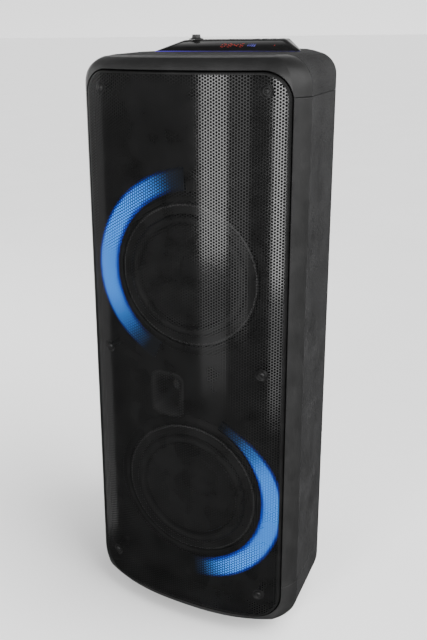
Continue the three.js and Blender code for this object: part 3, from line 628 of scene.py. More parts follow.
def eased(part):
    """A value from 0 to 1 that starts and ends softly."""
    part = np.clip(part, 0, 1)
    return part * part * (3 - 2 * part)


def roll_inset(radius, distance):
    """How far a rounded edge has rolled in at a distance from the flat that it rolls into."""
    rise = np.clip(radius - distance, 0, radius)
    return radius - np.sqrt(radius**2 - rise**2)


def body_scale(y, z, wall=0.0, lip=0.0):
    """How the plan shrinks across and in depth at a height."""
    base, deck = BASE_Z + wall, DECK_Z - wall
    rearward = eased((y - CREASE_Y) / (TAPER_Y - CREASE_Y))
    deck_side = DECK_SIDE_FRONT + (DECK_SIDE_REAR - DECK_SIDE_FRONT) * rearward
    side = roll_inset(deck_side, deck - z) + roll_inset(BASE_SIDE, z - base + BASE_CUT)
    edge = roll_inset(DECK_EDGE, deck - z) + roll_inset(BASE_EDGE, z - base)
    return 1 - (wall + lip + side) / HALF_WIDTH, 1 - (wall + lip + edge) / HALF_DEPTH


def body_ring(z, wall=0.0, lip=0.0):
    """The cabinet's outline at a height, in a skin that lies a wall inside the outer one."""
    across, depth = body_scale(PLAN[:, 1], z, wall, lip)
    return level_at(np.column_stack([PLAN[:, 0] * across, PLAN[:, 1] * depth]), z)


def body_levels(low, high, wall=0.0):
    """Heights between two limits, close together where the form rolls."""
    turn = 1 - np.cos(np.linspace(0, math.pi / 2, 15))
    levels = [BASE_Z + wall + (BASE_SIDE - BASE_CUT) * turn, DECK_Z - wall - DECK_SIDE_FRONT * turn]
    levels.append(np.arange(BASE_Z + 60, DECK_Z - 60, 48.0))
    heights = np.unique(np.concatenate(levels).round(4))
    return [z for z in heights if low + 1.5 < z < high - 1.5]


def lip_rings(seam, inwards):
    """Rings that round the edge of a section at a seam, from the seam inwards."""
    rises = [SEAM_LIP * part for part in (0, 0.12, 0.3, 0.6, 1)]
    return [body_ring(seam + inwards * rise, lip=roll_inset(SEAM_LIP, rise)) for rise in rises]


def flat_rings(z):
    """The last ring at the deck or the base and one just inside it, which keeps the flat face flat."""
    return [body_ring(z), body_ring(z, lip=1.2)]


def section_skin(low, high):
    """The outer skin between two heights, and which of its faces belong to the bezel."""
    rings = flat_rings(BASE_Z)[::-1] if low == BASE_Z else lip_rings(low, 1)
    rings += [body_ring(z) for z in body_levels(low, high)]
    rings += flat_rings(DECK_Z) if high == DECK_Z else lip_rings(high, -1)[::-1]
    slots = PLAN_IS_BEZEL.astype(int).tolist() * (len(rings) - 1)
    return *lofted(rings), slots + [0, 0]


def cavity(low, high, wall):
    """What is hollowed out behind the front, as a tool."""
    hollow = tool(lofted([body_ring(z, wall) for z in (low, *body_levels(low, high, wall), high)]), [INNER])
    ahead = [(-OUTSIDE, -OUTSIDE), (OUTSIDE, -OUTSIDE), (OUTSIDE, CAVITY_FRONT_Y), (-OUTSIDE, CAVITY_FRONT_Y)]
    return carve(hollow, [tool(slab(np.array(ahead, float), low - 10, high + 10, axis="z"), [INNER])])


def front_skin_y(x, z):
    """Depth of the outer skin at a place on the front."""
    across, depth = body_scale(np.full_like(x, CREASE_Y), z)
    x = np.abs(x) / across
    bezel = curve(BEZEL_START, BEZEL_CONTROL, BEZEL_END, 59)
    return depth * np.where(x <= GRILLE_HALF, sheet_y(x), np.interp(x, bezel[:, 0], bezel[:, 1]))


def grille_outline(margin, step=6.0):
    """The grille's outline from the front, moved out by a margin."""
    width, height = 2 * (GRILLE_HALF + margin), GRILLE_HEIGHT + 2 * margin
    return densified(rounded_rect(0, GRILLE.z, width, height, GRILLE_CORNER + margin, 16), step)


def mouth_tool():
    """The hole that the grille sits in, with a rounded lip where it meets the front."""
    outline = grille_outline(MOUTH_REVEAL)
    rings = []
    for depth in (-40, 0.06, 0.2, 0.5, 0.9, MOUTH_ROUND):
        flat = grown(outline, roll_inset(MOUTH_ROUND, max(depth, 0.06)))
        rings.append(upright(flat, front_skin_y(flat[:, 0], flat[:, 1]) + depth))
    rings.append(upright(outline, CAVITY_FRONT_Y + 1.0))
    return tool(lofted(rings), [INNER, BEZEL])


PLATE_BACK_Y = PLATE.high[1]
PLATE_SEAT_Y = PLATE_BACK_Y - 2.5
PLATE_LEDGE = 11
PLATE_HOLE_Y = 140  # where the holes through the plate start
SCREW_HOLE_R = 1.9
SCREW_HOLE_Y = 145  # where the screws' holes in the cabinet's ledge start
PORT_FLANGE_R = PORT.high[0]
PORT_FLANGE_WIDTH = 11.2  # from the flange's edge in to the port's hole in the cabinet
PORT_SEAT = 3
REAR_CUT_Y = 125  # where the openings in the cabinet's back start


def plate_outline(inset, steps=8):
    """The amplifier plate's outline, moved in."""
    return rounded_rect(0, PLATE.z, PLATE.size[0] - 2 * inset, PLATE.size[2] - 2 * inset, 8, steps)


def rear_openings():
    """The plate's seat and the opening inside its ledge, the port's hole and seat, and the screw holes."""
    return [
        slab(plate_outline(-FIT), PLATE_SEAT_Y - FIT, OUTSIDE),
        slab(plate_outline(PLATE_LEDGE), REAR_CUT_Y, OUTSIDE),
        rod(PORT_FLANGE_R - PORT_FLANGE_WIDTH, 0, PORT.z, REAR_CUT_Y, OUTSIDE, 96),
        rod(PORT_FLANGE_R + FIT, 0, PORT.z, HALF_DEPTH - PORT_SEAT, OUTSIDE, 96),
        *(rod(SCREW_HOLE_R, at.x, at.z, SCREW_HOLE_Y, OUTSIDE, 24) for at in PLATE_SCREWS),
    ]


def add_cabinet():
    for name, node, low, high, wall, slot in (
        ("bottom_cap_skin", "bottom_cap", BASE_Z, BOTTOM_CAP.high[2], CAP_WALL, "cap_plastic"),
        ("cabinet_skin", "cabinet_shell", SHELL.low[2], SHELL.high[2], CABINET_WALL, "cabinet_vinyl"),
        ("top_cap_skin", "top_cap", TOP_CAP.low[2], DECK_Z, CAP_WALL, "cap_plastic"),
    ):
        points, faces, slots = section_skin(low, high)
        skin = solid(name, points, faces, [VINYL, BEZEL, INNER], slots)
        cavity_low = BASE_Z + wall if low == BASE_Z else low - 8
        cavity_high = DECK_Z - wall if high == DECK_Z else high + 8
        tools = [cavity(cavity_low, cavity_high, wall), mouth_tool()]
        if node == "cabinet_shell":
            tools += map(tool, rear_openings())
        finished(carve(skin, [painted(cutter, 2) for cutter in tools]), slot, node, sharp=13)


# ------------------------------------------------------------------ grille
HOLE_PITCH = 4.5
COLUMN_PITCH = HOLE_PITCH * math.sqrt(3) / 2
HOLE_R = 1.86
DIMPLE_R = 8.6
OVERREACH = 1.2  # how far a hole's centre may lie past the sheet's edge
SHEET_INSET = 3.2  # from the grille's outline to the lattice's
SHEET_CORNER = GRILLE_CORNER - SHEET_INSET
CORE_X, CORE_Z = GRILLE_HALF - GRILLE_CORNER, GRILLE_HEIGHT / 2 - GRILLE_CORNER
ACROSS = np.linspace(0, GRILLE_HALF + 4, 600)
RUN = np.concatenate([[0], np.cumsum(np.hypot(np.diff(ACROSS), np.diff(bow_y(ACROSS))))])


def bow_x(run):
    """Distance across, from a distance along the bow."""
    return np.sign(run) * np.interp(np.abs(run), RUN, ACROSS)


def past_core(x, z):
    """How far points lie past the corners' centres, across and up, and which lie in a corner."""
    past_x, past_z = np.abs(x) - CORE_X, np.abs(z - GRILLE.z) - CORE_Z
    return past_x, past_z, (past_x > 0) & (past_z > 0)


def sheet_edge_distance(x, z):
    """Signed distance past the sheet's outline."""
    past_x, past_z, in_corner = past_core(x, z)
    return np.where(in_corner, np.hypot(past_x, past_z), np.maximum(past_x, past_z)) - SHEET_CORNER


def pulled_inside(x, z):
    """Points outside the sheet's outline moved onto it, and points in a screw's dimple onto its rim."""
    past_x, past_z, in_corner = past_core(x, z)
    shrink = np.minimum(SHEET_CORNER / np.maximum(np.hypot(past_x, past_z), 1e-9), 1.0)
    past_x = np.where(in_corner, past_x * shrink, np.minimum(past_x, SHEET_CORNER))
    past_z = np.where(in_corner, past_z * shrink, np.minimum(past_z, SHEET_CORNER))
    x, z = np.sign(x) * (past_x + CORE_X), GRILLE.z + np.sign(z - GRILLE.z) * (past_z + CORE_Z)
    for at in GRILLE_SCREWS:
        dx, dz = x - at.x, z - at.z
        push = np.maximum(DIMPLE_R / np.maximum(np.hypot(dx, dz), 1e-6), 1.0)
        x, z = at.x + dx * push, at.z + dz * push
    return x, z


def lattice():
    """The perforated sheet: a hexagon round every hole, and the web between neighbours."""
    columns, rows = int(RUN[-1] / COLUMN_PITCH), int(GRILLE_HEIGHT / HOLE_PITCH) + 3
    column, row = np.meshgrid(np.arange(-columns, columns + 1), np.arange(-1, rows), indexing="ij")
    odd = column % 2
    run, z = column * COLUMN_PITCH, GRILLE.low[2] + (row + 0.5 * odd) * HOLE_PITCH
    inside = sheet_edge_distance(bow_x(run), z) < OVERREACH
    for at in GRILLE_SCREWS:
        inside &= np.hypot(bow_x(run) - at.x, z - at.z) > DIMPLE_R - OVERREACH
    number = np.full(column.shape, -1)
    number[inside] = np.arange(inside.sum())
    angles = np.radians(np.arange(6) * 60)
    corner_run = run[inside][:, None] + HOLE_R * np.cos(angles)
    corner_z = z[inside][:, None] + HOLE_R * np.sin(angles)
    x, z = pulled_inside(bow_x(corner_run.ravel()), corner_z.ravel())
    points = np.column_stack([x, sheet_y(x), z])

    def neighbour(columns_on, rows_on_even, rows_on_odd):
        """Numbers of the holes one step away, or -1."""
        i, j = np.indices(number.shape)
        i, j = i + columns_on, j + np.where(odd, rows_on_odd, rows_on_even)
        there = (i >= 0) & (i < number.shape[0]) & (j >= 0) & (j < number.shape[1])
        found = np.full(number.shape, -1)
        found[there] = number[i[there], j[there]]
        return found

    up, left_up = neighbour(0, 1, 1), neighbour(-1, 0, 1)
    right_up, right_down = neighbour(1, 0, 1), neighbour(1, -1, 0)
    webs = (  # a hole and one of its six corners, for each corner of a web
        ((number, 0), (right_up, 4), (right_up, 3), (number, 1)),
        ((number, 1), (up, 5), (up, 4), (number, 2)),
        ((number, 2), (left_up, 0), (left_up, 5), (number, 3)),
        ((number, 0), (right_down, 2), (right_up, 4)),
        ((number, 1), (right_up, 3), (up, 5)),
    )
    kept = []
    for web in webs:
        there = np.all([holes >= 0 for holes, _ in web], axis=0)
        corners = np.stack([holes[there] * 6 + k for holes, k in web], axis=1)
        x, z = points[corners][..., 0], points[corners][..., 2]
        area = np.abs((x * np.roll(z, -1, axis=1) - z * np.roll(x, -1, axis=1)).sum(axis=1)) / 2
        kept += corners[area > 0.02].tolist()
    used = np.unique(np.concatenate(kept))
    return points[used], [np.searchsorted(used, face).tolist() for face in kept]


def hem():
    """The sheet's edge, folded back."""
    section = [(3.9, -0.1), (2.4, -0.1), (1.3, 0.15), (0.5, 0.8), (0.12, 1.9), (0.05, 3.0), (0.05, 7.5),
               (0.9, 7.5), (0.9, 3.1), (1.7, 1.2), (3.9, 0.6)]
    outline = grille_outline(0, 5.0)
    flats = [grown(outline, -inset) for inset, _ in section]
    rings = [upright(flat, sheet_y(flat[:, 0]) + depth) for flat, (_, depth) in zip(flats, section)]
    return lofted(rings, closed=True)


def seat_y(at):
    """Depth of the underside of a grille screw's head."""
    return at.low[1] + 2.3


def dimple(at):
    """The pressed cup under a grille screw's head."""
    angles = np.radians(np.arange(48) * 7.5)
    around = np.column_stack([np.cos(angles), np.sin(angles)])
    front = []
    for radius in (9.1, 8.7, 8.2, 7.5, 6.6, 5.8, 5.2, 3.0):
        flat = radius * around + (at.x, at.z)
        sink = eased((8.8 - radius) / 3.2)
        front.append(upright(flat, (sheet_y(flat[:, 0]) - 0.12) * (1 - sink) + seat_y(at) * sink))
    back = [ring + (0, 0.8, 0) for ring in reversed(front)]
    return lofted(front + back, closed=True)


def add_grille():
    # The hem and the screw cups take the darker copy of the paint, a painted shade.
    edges = merged(hem(), *map(dimple, GRILLE_SCREWS))
    sheet = painted(solid("grille_sheet", *edges, [GRILLE_PAINT, EDGE_SHADED_PAINT]), 1)
    points, faces = lattice()
    web = bpy.data.meshes.new("web")
    web.from_pydata((points * MM).tolist(), [], faces)
    shape = bmesh.new()
    shape.from_mesh(sheet.data)
    shape.from_mesh(web)
    shape.to_mesh(sheet.data)
    shape.free()
    bpy.data.meshes.remove(web)
    finished(sheet, "grille_steel", "grille", sharp=40)


# ------------------------------------------------------------------ screws and feet
THREAD_PITCH = 1.1


def cross_recess(x, z, front_y, size, depth):
    """Shapes that cut a cross-head driver recess."""
    blades = []
    for half in ((size, size * 0.26), (size * 0.26, size)):
        blade = np.array([(-1, -1), (1, -1), (1, 1), (-1, 1)]) * half
        ends = ((1, front_y), (0.45, front_y + depth))
        blades.append(lofted([upright(blade * scale + (x, z), y) for scale, y in ends]))
    return blades


def screw(name, node, head_r, head, facing, material, slot):
    """A pan-head screw along Y with a cross recess. facing is -1 towards the front and 1 to the rear."""
    at = Place(node)
    top, tip = (at.low[1], at.high[1]) if facing < 0 else (at.high[1], at.low[1])
    inwards, shank_r, under = -facing, head_r * 0.45, top - facing * head
    profile = [(0, top)]
    for part in (0.35, 0.6, 0.8, 0.93, 1.0):
        profile.append((head_r * part, top + inwards * head * 0.75 * (1 - math.sqrt(1 - part**2))))
    profile += [(head_r * 0.99, under), (shank_r, under)]
    for k in range(max(3, int((abs(tip - top) - head) / THREAD_PITCH))):
        start = top + inwards * (head + 0.3 + k * THREAD_PITCH)
        profile += [(shank_r * 0.82, start), (shank_r, start + inwards * 0.45)]
    profile += [(shank_r * 0.6, tip), (0, tip)]
    recess = cross_recess(at.x, at.z, top + facing * 0.3, head_r * 0.56, inwards * head * 0.85)
    piece(name, turned(profile, (at.x, at.z), segments=40), material, slot, node, cuts=recess, sharp=35)


def add_screws():
    for i in range(1, 7):
        screw(f"grille_screw_head_{i}", f"grille_screw_{i}", 4.2, 2.2, -1, SCREW_BLACK, "black_screw")
    for i in range(1, 5):
        screw(f"plate_screw_head_{i}", f"amplifier_screw_{i}", 3.4, 1.6, 1, STEEL, "bare_steel")


def add_feet():
    for node in ("foot_front_left", "foot_front_right", "foot_rear_left", "foot_rear_right"):
        at = Place(node)
        centre, r, top = (at.x, at.y), at.high[0] - at.x, at.high[2]
        corners = [(0, 0), (r - 2.4, 0), (r - 0.4, 2.2), (r, 6), (r - 1.2, 7.4), (r - 1.2, 8.8),
                   (r - 0.3, 10), (r - 1, top), (0, top)]
        pad = turned(filleted(corners, 0.9, 3, closed=False), centre, axis="z", segments=64)
        grooves = []
        for inner in (4.0, 8.0):
            ring = [(inner, -1), (inner + 1.2, -1), (inner + 1.2, 0.8), (inner, 0.8)]
            grooves.append(turned(ring, centre, axis="z", segments=48))
        name = node.replace("foot", "foot_pad")
        piece(name, pad, RUBBER, "rubber_foot", node, cuts=grooves, sharp=35)


# ------------------------------------------------------------------ baffle and light guides
WOOFER_HOLE_R = 99.6
BOSS_BORE_R, BOSS_BORE_END_Y = 2.4, -132
HORN_HOLE = (46, 66, 12)  # width, height and corner
HORN_SEAT = (58.8, 78.8, 16.4)
CRESCENT_R = 130.5
CRESCENT_THICK = 36
CRESCENT_START = 96
CRESCENT_SWEEP = 148
CRESCENT_SHIFT = 9.4
CRESCENT_TIP = {1: 0.9, -1: 0.45}
CRESCENT_TAPER_FROM = 0.6
GLOW_ALONG = {  # places along an arc and how brightly it glows there: it dies away at both ends
    1: ([0, 0.06, 0.1, 0.16, 0.25, 0.4, 0.68, 0.78, 0.88, 0.95],
        [0, 0.02, 0.15, 0.5, 0.8, 1, 1, 0.55, 0.12, 0]),
    -1: ([0, 0.04, 0.08, 0.13, 0.2, 0.35, 0.72, 0.8, 0.9, 0.98],
         [0, 0.04, 0.25, 0.65, 1, 1, 1, 0.45, 0.07, 0]),
}


def crescent_point(level, part, across, inset=0.0):
    """A place on an arc of light: part along it, and across it from the inner edge to the outer."""
    side = LEVELS[level]
    end = math.degrees(inset / CRESCENT_R)
    angle = math.radians(CRESCENT_START + end + (CRESCENT_SWEEP - 2 * end) * part)
    taper = eased((part - CRESCENT_TAPER_FROM) / (1 - CRESCENT_TAPER_FROM))
    thick = CRESCENT_THICK * (1 - (1 - CRESCENT_TIP[side]) * taper)
    radius = CRESCENT_R + inset + (thick - 2 * inset) * across
    x = side * (CRESCENT_SHIFT + radius * math.cos(angle))
    return x, WOOFER_Z[level] + side * radius * math.sin(angle)


def crescent_outline(level, inset, steps=48):
    """The arc's outline, moved in all round, anticlockwise."""
    outer = [crescent_point(level, k / steps, 1, inset) for k in range(steps + 1)]
    inner = [crescent_point(level, k / steps, 0, inset) for k in range(steps, -1, -1)]
    return np.array(outer + inner)


def add_light_guides():
    steps, bands = 96, 12
    for level, side in LEVELS.items():
        at = Place(f"{level}_light_guide")
        back_y = at.high[1]
        section = []
        for across in (j / bands for j in range(bands + 1)):
            dome = math.sqrt(1 - abs(2 * across - 1) ** 3)
            section.append((across, back_y - 0.8 - (at.size[1] - 0.8) * dome))
        section += [(1, back_y), (0, back_y)]
        rings, along = [], []
        for part in (k / steps for k in range(steps + 1)):
            places = [crescent_point(level, part, across) for across, _ in section]
            rings.append([(x, y, z) for (x, z), (_, y) in zip(places, section)])
            along += [np.interp(part, *GLOW_ALONG[side])] * len(section)
        lens = solid(f"{level}_light_lens", *lofted(rings), [LENS])
        store(lens, "along", along)
        store(lens, "across", [across for across, _ in section] * (steps + 1))
        finished(lens, "light_guide", f"{level}_light_guide", sharp=50)


def trim_ring(z):
    """A raised ring round a woofer, chamfered towards the cone."""
    front = BAFFLE_FRONT_Y
    corners = [(113.4, front + 1), (113.4, front - 3.4), (116.5, front - 4.4), (121, front - 4.4),
               (128.5, front - 1.2), (129.6, front + 1)]
    return turned(filleted(corners, 0.8, 3), (0, z), segments=144)


def screw_boss(at):
    """The post that a grille screw goes into."""
    seat, foot = seat_y(at) + 1.9, BAFFLE_FRONT_Y
    post = [(0, seat), (4.6, seat), (5.4, -134), (6.4, -130), (9, foot - 0.2), (9, foot + 2), (0, foot + 2)]
    return turned(post, (at.x, at.z), segments=32)


def add_baffle():
    edge, front, horn = 1.5, BAFFLE_FRONT_Y, Place("tweeter_horn")
    width, height = 2 * (GRILLE_HALF - edge), GRILLE_HEIGHT - 2 * edge
    joins = [*map(trim_ring, WOOFER_Z.values()), *map(screw_boss, GRILLE_SCREWS)]
    cuts = [rod(BOSS_BORE_R, at.x, at.z, -OUTSIDE, BOSS_BORE_END_Y) for at in GRILLE_SCREWS]
    cuts += [rod(WOOFER_HOLE_R, 0, z, -OUTSIDE, 0, 128) for z in WOOFER_Z.values()]
    for level in LEVELS:
        cuts.append(slab(crescent_outline(level, -0.4), front - 20, front - 0.1))
        cuts.append(slab(crescent_outline(level, 5.4), front - 20, front + 2.6))
    cuts.append(plug(horn.x, horn.z, *HORN_HOLE, 8, -OUTSIDE, 0))
    cuts.append(plug(horn.x, horn.z, *HORN_SEAT, 8, -OUTSIDE, front - 0.15))
    face = plug(0, GRILLE.z, width, height, GRILLE_CORNER - edge, 12, front, BAFFLE_BACK_Y, 1.2)
    piece("baffle_face", face, BAFFLE, "baffle_plastic", "front_baffle", joins, cuts, sharp=28)


# ------------------------------------------------------------------ loudspeakers
SURROUND_PARTS = 24
MOVING_PARTS = ("cone", "dust_cap", "voice_coil")
BASKET_SCREWS_R = 105.5
THROAT_Y = -92.9


def add_turned(name, node, profile, material, slot, radius, segments, body="cabinet"):
    """A turned piece on a loudspeaker's axis, its corners rounded."""
    at = Place(node)
    rounded = filleted(profile, radius, 3, closed=profile[0][0] != 0)
    piece(name, turned(rounded, (at.x, at.z), segments=segments), material, slot, node, body=body, sharp=40)


def add_basket(level, front):
    z = WOOFER_Z[level]
    profile = [(111, front), (111, front + 3), (98.5, front + 3), (98.5, front + 13.3), (52, -60),
               (52, -57.7), (27.2, -57.7), (27.2, -60.2), (49.5, -60.2), (94.5, front + 14.3), (94.5, front)]
    points, faces = plug(78, 0, 30, 34, 8, 4, -112, -60.5)  # one window between two arms
    cuts = []
    for angle in np.radians(22.5 + 45 * np.arange(8)):
        cos, sin = math.cos(angle), math.sin(angle)
        cuts.append((points @ np.array([[cos, 0, sin], [0, 1, 0], [-sin, 0, cos]]) + (0, 0, z), faces))
    for angle in np.radians(45 * np.arange(8)):
        x, up = BASKET_SCREWS_R * math.cos(angle), BASKET_SCREWS_R * math.sin(angle)
        cuts.append(rod(2.2, x, z + up, -200, 0, 24))
    bowl = turned(filleted(profile, 0.8, 3), (0, z), segments=128)
    name, node = f"{level}_basket_frame", f"{level}_basket"
    piece(name, bowl, BLACK_STEEL, "basket_steel", node, cuts=cuts, sharp=35)


def surround_profile(front):
    """A half roll between two lips, with a small bead at each foot."""
    lip_back = front - 0.3
    lip_front = lip_back - 1.2
    middle, roll = 88, 7.5
    angles = np.radians(np.linspace(0, 180, 19))
    outer = [(middle - (roll + 1.2) * math.cos(a), lip_back - (roll + 1.2) * math.sin(a)) for a in angles]
    inner = [(middle - roll * math.cos(a), lip_back - roll * math.sin(a)) for a in angles[::-1]]
    outer[0], outer[-1] = (outer[0][0], lip_front), (outer[-1][0], lip_front)
    return [(78.4, lip_back), (78.4, lip_front)] + outer + [(108, lip_front), (108, lip_back)] + inner


def add_surround(level, front):
    """The surround in parts that meet edge to edge."""
    profile = filleted(surround_profile(front), 0.3, 3)
    share = 360 / SURROUND_PARTS

    def around(r, y, angle):
        """Places at a radius and depth, turned round the woofer's axis by degrees."""
        turn = math.radians(angle)
        return np.stack([r * math.cos(turn), y, WOOFER_Z[level] + r * math.sin(turn)], axis=-1)

    for k in range(SURROUND_PARTS):
        rings = [around(*profile.T, angle) for angle in np.linspace(k * share, (k + 1) * share, 7)]
        part = smoothed(solid(f"{level}_surround_roll_{k + 1}", *lofted(rings), [SURROUND]), 30)
        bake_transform(part)
        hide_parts(f"{level}_surround")


def cone_profile(at):
    """A shallow cone with ribs pressed round it."""
    front, outer_r, inner_r, thick, steps = at.low[1], at.high[0], 27.0, 1.6, 44
    face = []
    for part in (k / steps for k in range(steps + 1)):
        rib = 0.45 * math.cos(part * 8 * math.pi) if 0.12 < part < 0.88 else 0
        face.append((outer_r + (inner_r - outer_r) * part, front + (at.size[1] - thick) * part + max(0, rib)))
    return face + [(r, y + thick) for r, y in reversed(face)]


def dome_profile(at):
    """A thin dome, from its top over its rim and back inside."""
    profile = []
    for skin, parts in ((0, np.linspace(0, 1, 15)), (1.4, np.linspace(1, 0, 15))):
        profile += [((at.high[0] - skin) * p, at.high[1] - (at.size[1] - skin) * (1 - p * p)) for p in parts]
    return profile


def spider_profile(at):
    """Cloth pressed into four waves between the coil and the basket."""
    radii = np.linspace(27.1, at.high[0], 49)
    waves = [(r, at.y - 0.45 + 1.15 * math.sin((r - 27.1) / 28 * 8 * math.pi)) for r in radii]
    return waves + [(r, y + 0.9) for r, y in reversed(waves)]


def add_woofer(level):
    front = Place(f"{level}_basket").low[1]
    add_basket(level, front)
    add_surround(level, front)
    coil = Place(f"{level}_voice_coil")
    former = [(25.6, coil.low[1]), (coil.high[0], coil.low[1]), tuple(coil.high[:2]), (25.6, coil.high[1])]
    magnet = [(27.6, -57.4), (45, -57.4), (45, -51.5), (58, -51.5), (58, -33), (30.5, -33), (30.5, -51.5),
              (27.6, -51.5)]
    yoke = [(0, -57), (24.8, -57), (24.8, -32.7), (52, -32.7), (50, -26), (0, -26)]
    cone, cap, spider = (Place(f"{level}_{node}") for node in ("cone", "dust_cap", "spider"))
    for name, node, *look in (  # profile, material, slot, corner radius and segments
        ("cone_paper", "cone", cone_profile(cone), PAPER, "cone_paper", 0.3, 144),
        ("dust_cap_dome", "dust_cap", dome_profile(cap), PAPER, "cone_paper", 0.2, 96),
        ("coil_former", "voice_coil", former, COPPER, "voice_coil", 0.1, 120),
        ("spider_cloth", "spider", spider_profile(spider), SPIDER, "spider_cloth", 0.1, 120),
        ("magnet_ring", "magnet", magnet, FERRITE, "ferrite", 1.2, 120),
        ("yoke_pole", "yoke", yoke, STEEL, "bare_steel", 1.2, 120),
    ):
        body = f"{level}_diaphragm" if node in MOVING_PARTS else "cabinet"
        add_turned(f"{level}_{name}", f"{level}_{node}", *look, body)


def add_tweeter():
    horn = Place("tweeter_horn")
    width, height = horn.size[0], horn.size[2]
    back = BAFFLE_FRONT_Y - 0.3
    front = back - 2.6

    def section(w, h, corner, y):
        return upright(rounded_rect(horn.x, horn.z, w, h, corner, 10), y)

    rings = []
    for less, corner, y in ((0, 16, back), (0, 16, front + 1.4), (0.8, 15.6, front + 0.5), (2.6, 14.7, front),
                            (9, 12, front), (12, 11, front + 0.7)):
        rings.append(section(width - less, height - less, corner, y))
    mouth, throat = np.array([width - 13, height - 13, 10.5]), np.array([17, 17, 8.4])
    for part in np.linspace(0, 1, 12)[1:]:
        narrow = part**0.7
        y = front + 0.7 + (THROAT_Y - front) * part
        rings.append(section(*(mouth * (1 - narrow) + throat * narrow), y))
    throat_y = rings[-1][0][1]
    rings.append(section(26, 26, 10, throat_y))
    rings += [section(width - 14, height - 14, 11, y) for y in (throat_y - 8, back)]
    flare = lofted(rings, closed=True)
    piece("tweeter_horn_flare", flare, BLACK_PLASTIC, "black_plastic", "tweeter_horn", sharp=32)
    driver = [(0, -91.6), (20, -91.6), (20, -88), (32, -88), (32, -70), (24, -68), (0, -68)]
    add_turned("tweeter_motor", "tweeter_driver", driver, FERRITE, "ferrite", 1.0, 72)


# ------------------------------------------------------------------ control panel
def trapezium(front, rear, front_y, rear_y):
    """Anticlockwise corners of a plan from its half widths at the front and the rear."""
    return np.array([(-front, front_y), (front, front_y), (rear, rear_y), (-rear, rear_y)])


PANEL_BASE_HALF, PANEL_TOP_HALF = PANEL.high[0], 87
PANEL_BASE_Z, PANEL_TOP_Z = PANEL.low[2], PANEL.high[2]
PANEL_FRONT_Y, PANEL_TOP_FRONT_Y = PANEL.low[1], 42
PANEL_FOOT = trapezium(PANEL_BASE_HALF, 84, PANEL_FRONT_Y, PANEL.high[1])
PANEL_TOP = trapezium(PANEL_TOP_HALF, 71, PANEL_TOP_FRONT_Y, 108)
PANEL_INSET = 7
PANEL_ROOF = 2.5
PANEL_DARK_EDGES = 14  # edges in the front's finish, from the front left corner to the whole right side
WINDOW_SIDE = 7  # from the slope's side edges in to the window
WINDOW_FOOT, WINDOW_HEAD = 0.1, 0.93  # parts of the way up the slope
WELL_R = 4.2
SLOPE_FOOT = np.array([0, PANEL_FRONT_Y, PANEL_BASE_Z])
SLOPE_RUN = np.array([0, PANEL_TOP_FRONT_Y - PANEL_FRONT_Y, PANEL_TOP_Z - PANEL_BASE_Z])
SLOPE_LENGTH = np.linalg.norm(SLOPE_RUN)
SLOPE_UP = SLOPE_RUN / SLOPE_LENGTH
SLOPE_OUT = np.array([0, -SLOPE_UP[2], SLOPE_UP[1]])
KEYS = {name: Place(f"{name}_button") for name in ("light", "previous", "play", "next")}
KNOB = Place("volume_knob")


def panel_ring(part, z, inset=0.0):
    """The panel's outline part of the way up its slopes."""
    outline = filleted(PANEL_FOOT + (PANEL_TOP - PANEL_FOOT) * part, 4.5, 6)
    return level_at(grown(outline, -inset), z)


def slope_slab(outline, bottom, top, edge=0.0):
    """A flat piece on the front slope, from an outline across and up it."""
    angles = np.radians([0, 45, 90] if edge else [0])
    sections = [(bottom, 0.0)] + [(top - edge * (1 - math.sin(a)), -edge * (1 - math.cos(a))) for a in angles]
    rings = []
    for out, growth in sections:
        across, up = grown(outline, growth).T
        rings.append(SLOPE_FOOT + np.outer(across, (1, 0, 0)) + np.outer(up, SLOPE_UP) + SLOPE_OUT * out)
    return lofted(rings)


def window_outline(margin):
    """The display window's outline on the slope."""
    corners = []
    for part, side in ((WINDOW_FOOT, -1), (WINDOW_FOOT, 1), (WINDOW_HEAD, 1), (WINDOW_HEAD, -1)):
        half = PANEL_BASE_HALF + (PANEL_TOP_HALF - PANEL_BASE_HALF) * part - WINDOW_SIDE - margin
        corners.append((side * half, SLOPE_LENGTH * part + (margin if part == WINDOW_FOOT else -margin)))
    return filleted(corners, 3.0, 4)


def panel_rings():
    """The panel's outside, from its foot to its rounded top edge."""
    rise = PANEL.size[2]
    rings = [panel_ring(0, PANEL_BASE_Z, 0.5)]
    rings += [panel_ring(part, PANEL_BASE_Z + part * rise) for part in (0.03, 0.3, 0.6, 0.88)]
    for angle in np.radians([0, 22, 45, 68, 90]):
        drop, inset = 1.1 * (1 - math.sin(angle)), 1.6 * (1 - math.cos(angle))
        rings.append(panel_ring(0.93 + 0.07 * math.sin(angle), PANEL_TOP_Z - drop, inset))
    return rings + [panel_ring(1, PANEL_TOP_Z, 2.6)]


def panel_openings():
    """The window's seat, a hole for each key and the knob's well."""
    shapes = [slope_slab(window_outline(0), -1.2, 5)]
    for key in KEYS.values():
        outline = rounded_rect(key.x, key.y, key.size[0] + 2 * FIT, key.size[1] + 2 * FIT, 2.5, 5)
        shapes.append(slab(outline, PANEL_TOP_Z - 6, PANEL_TOP_Z + 5, axis="z"))
    low, high = PANEL_TOP_Z - 5, PANEL_TOP_Z + 5
    well = [(0, low), (WELL_R, low), (WELL_R, high), (0, high)]
    return [*shapes, turned(well, (KNOB.x, KNOB.y), axis="z", segments=40)]


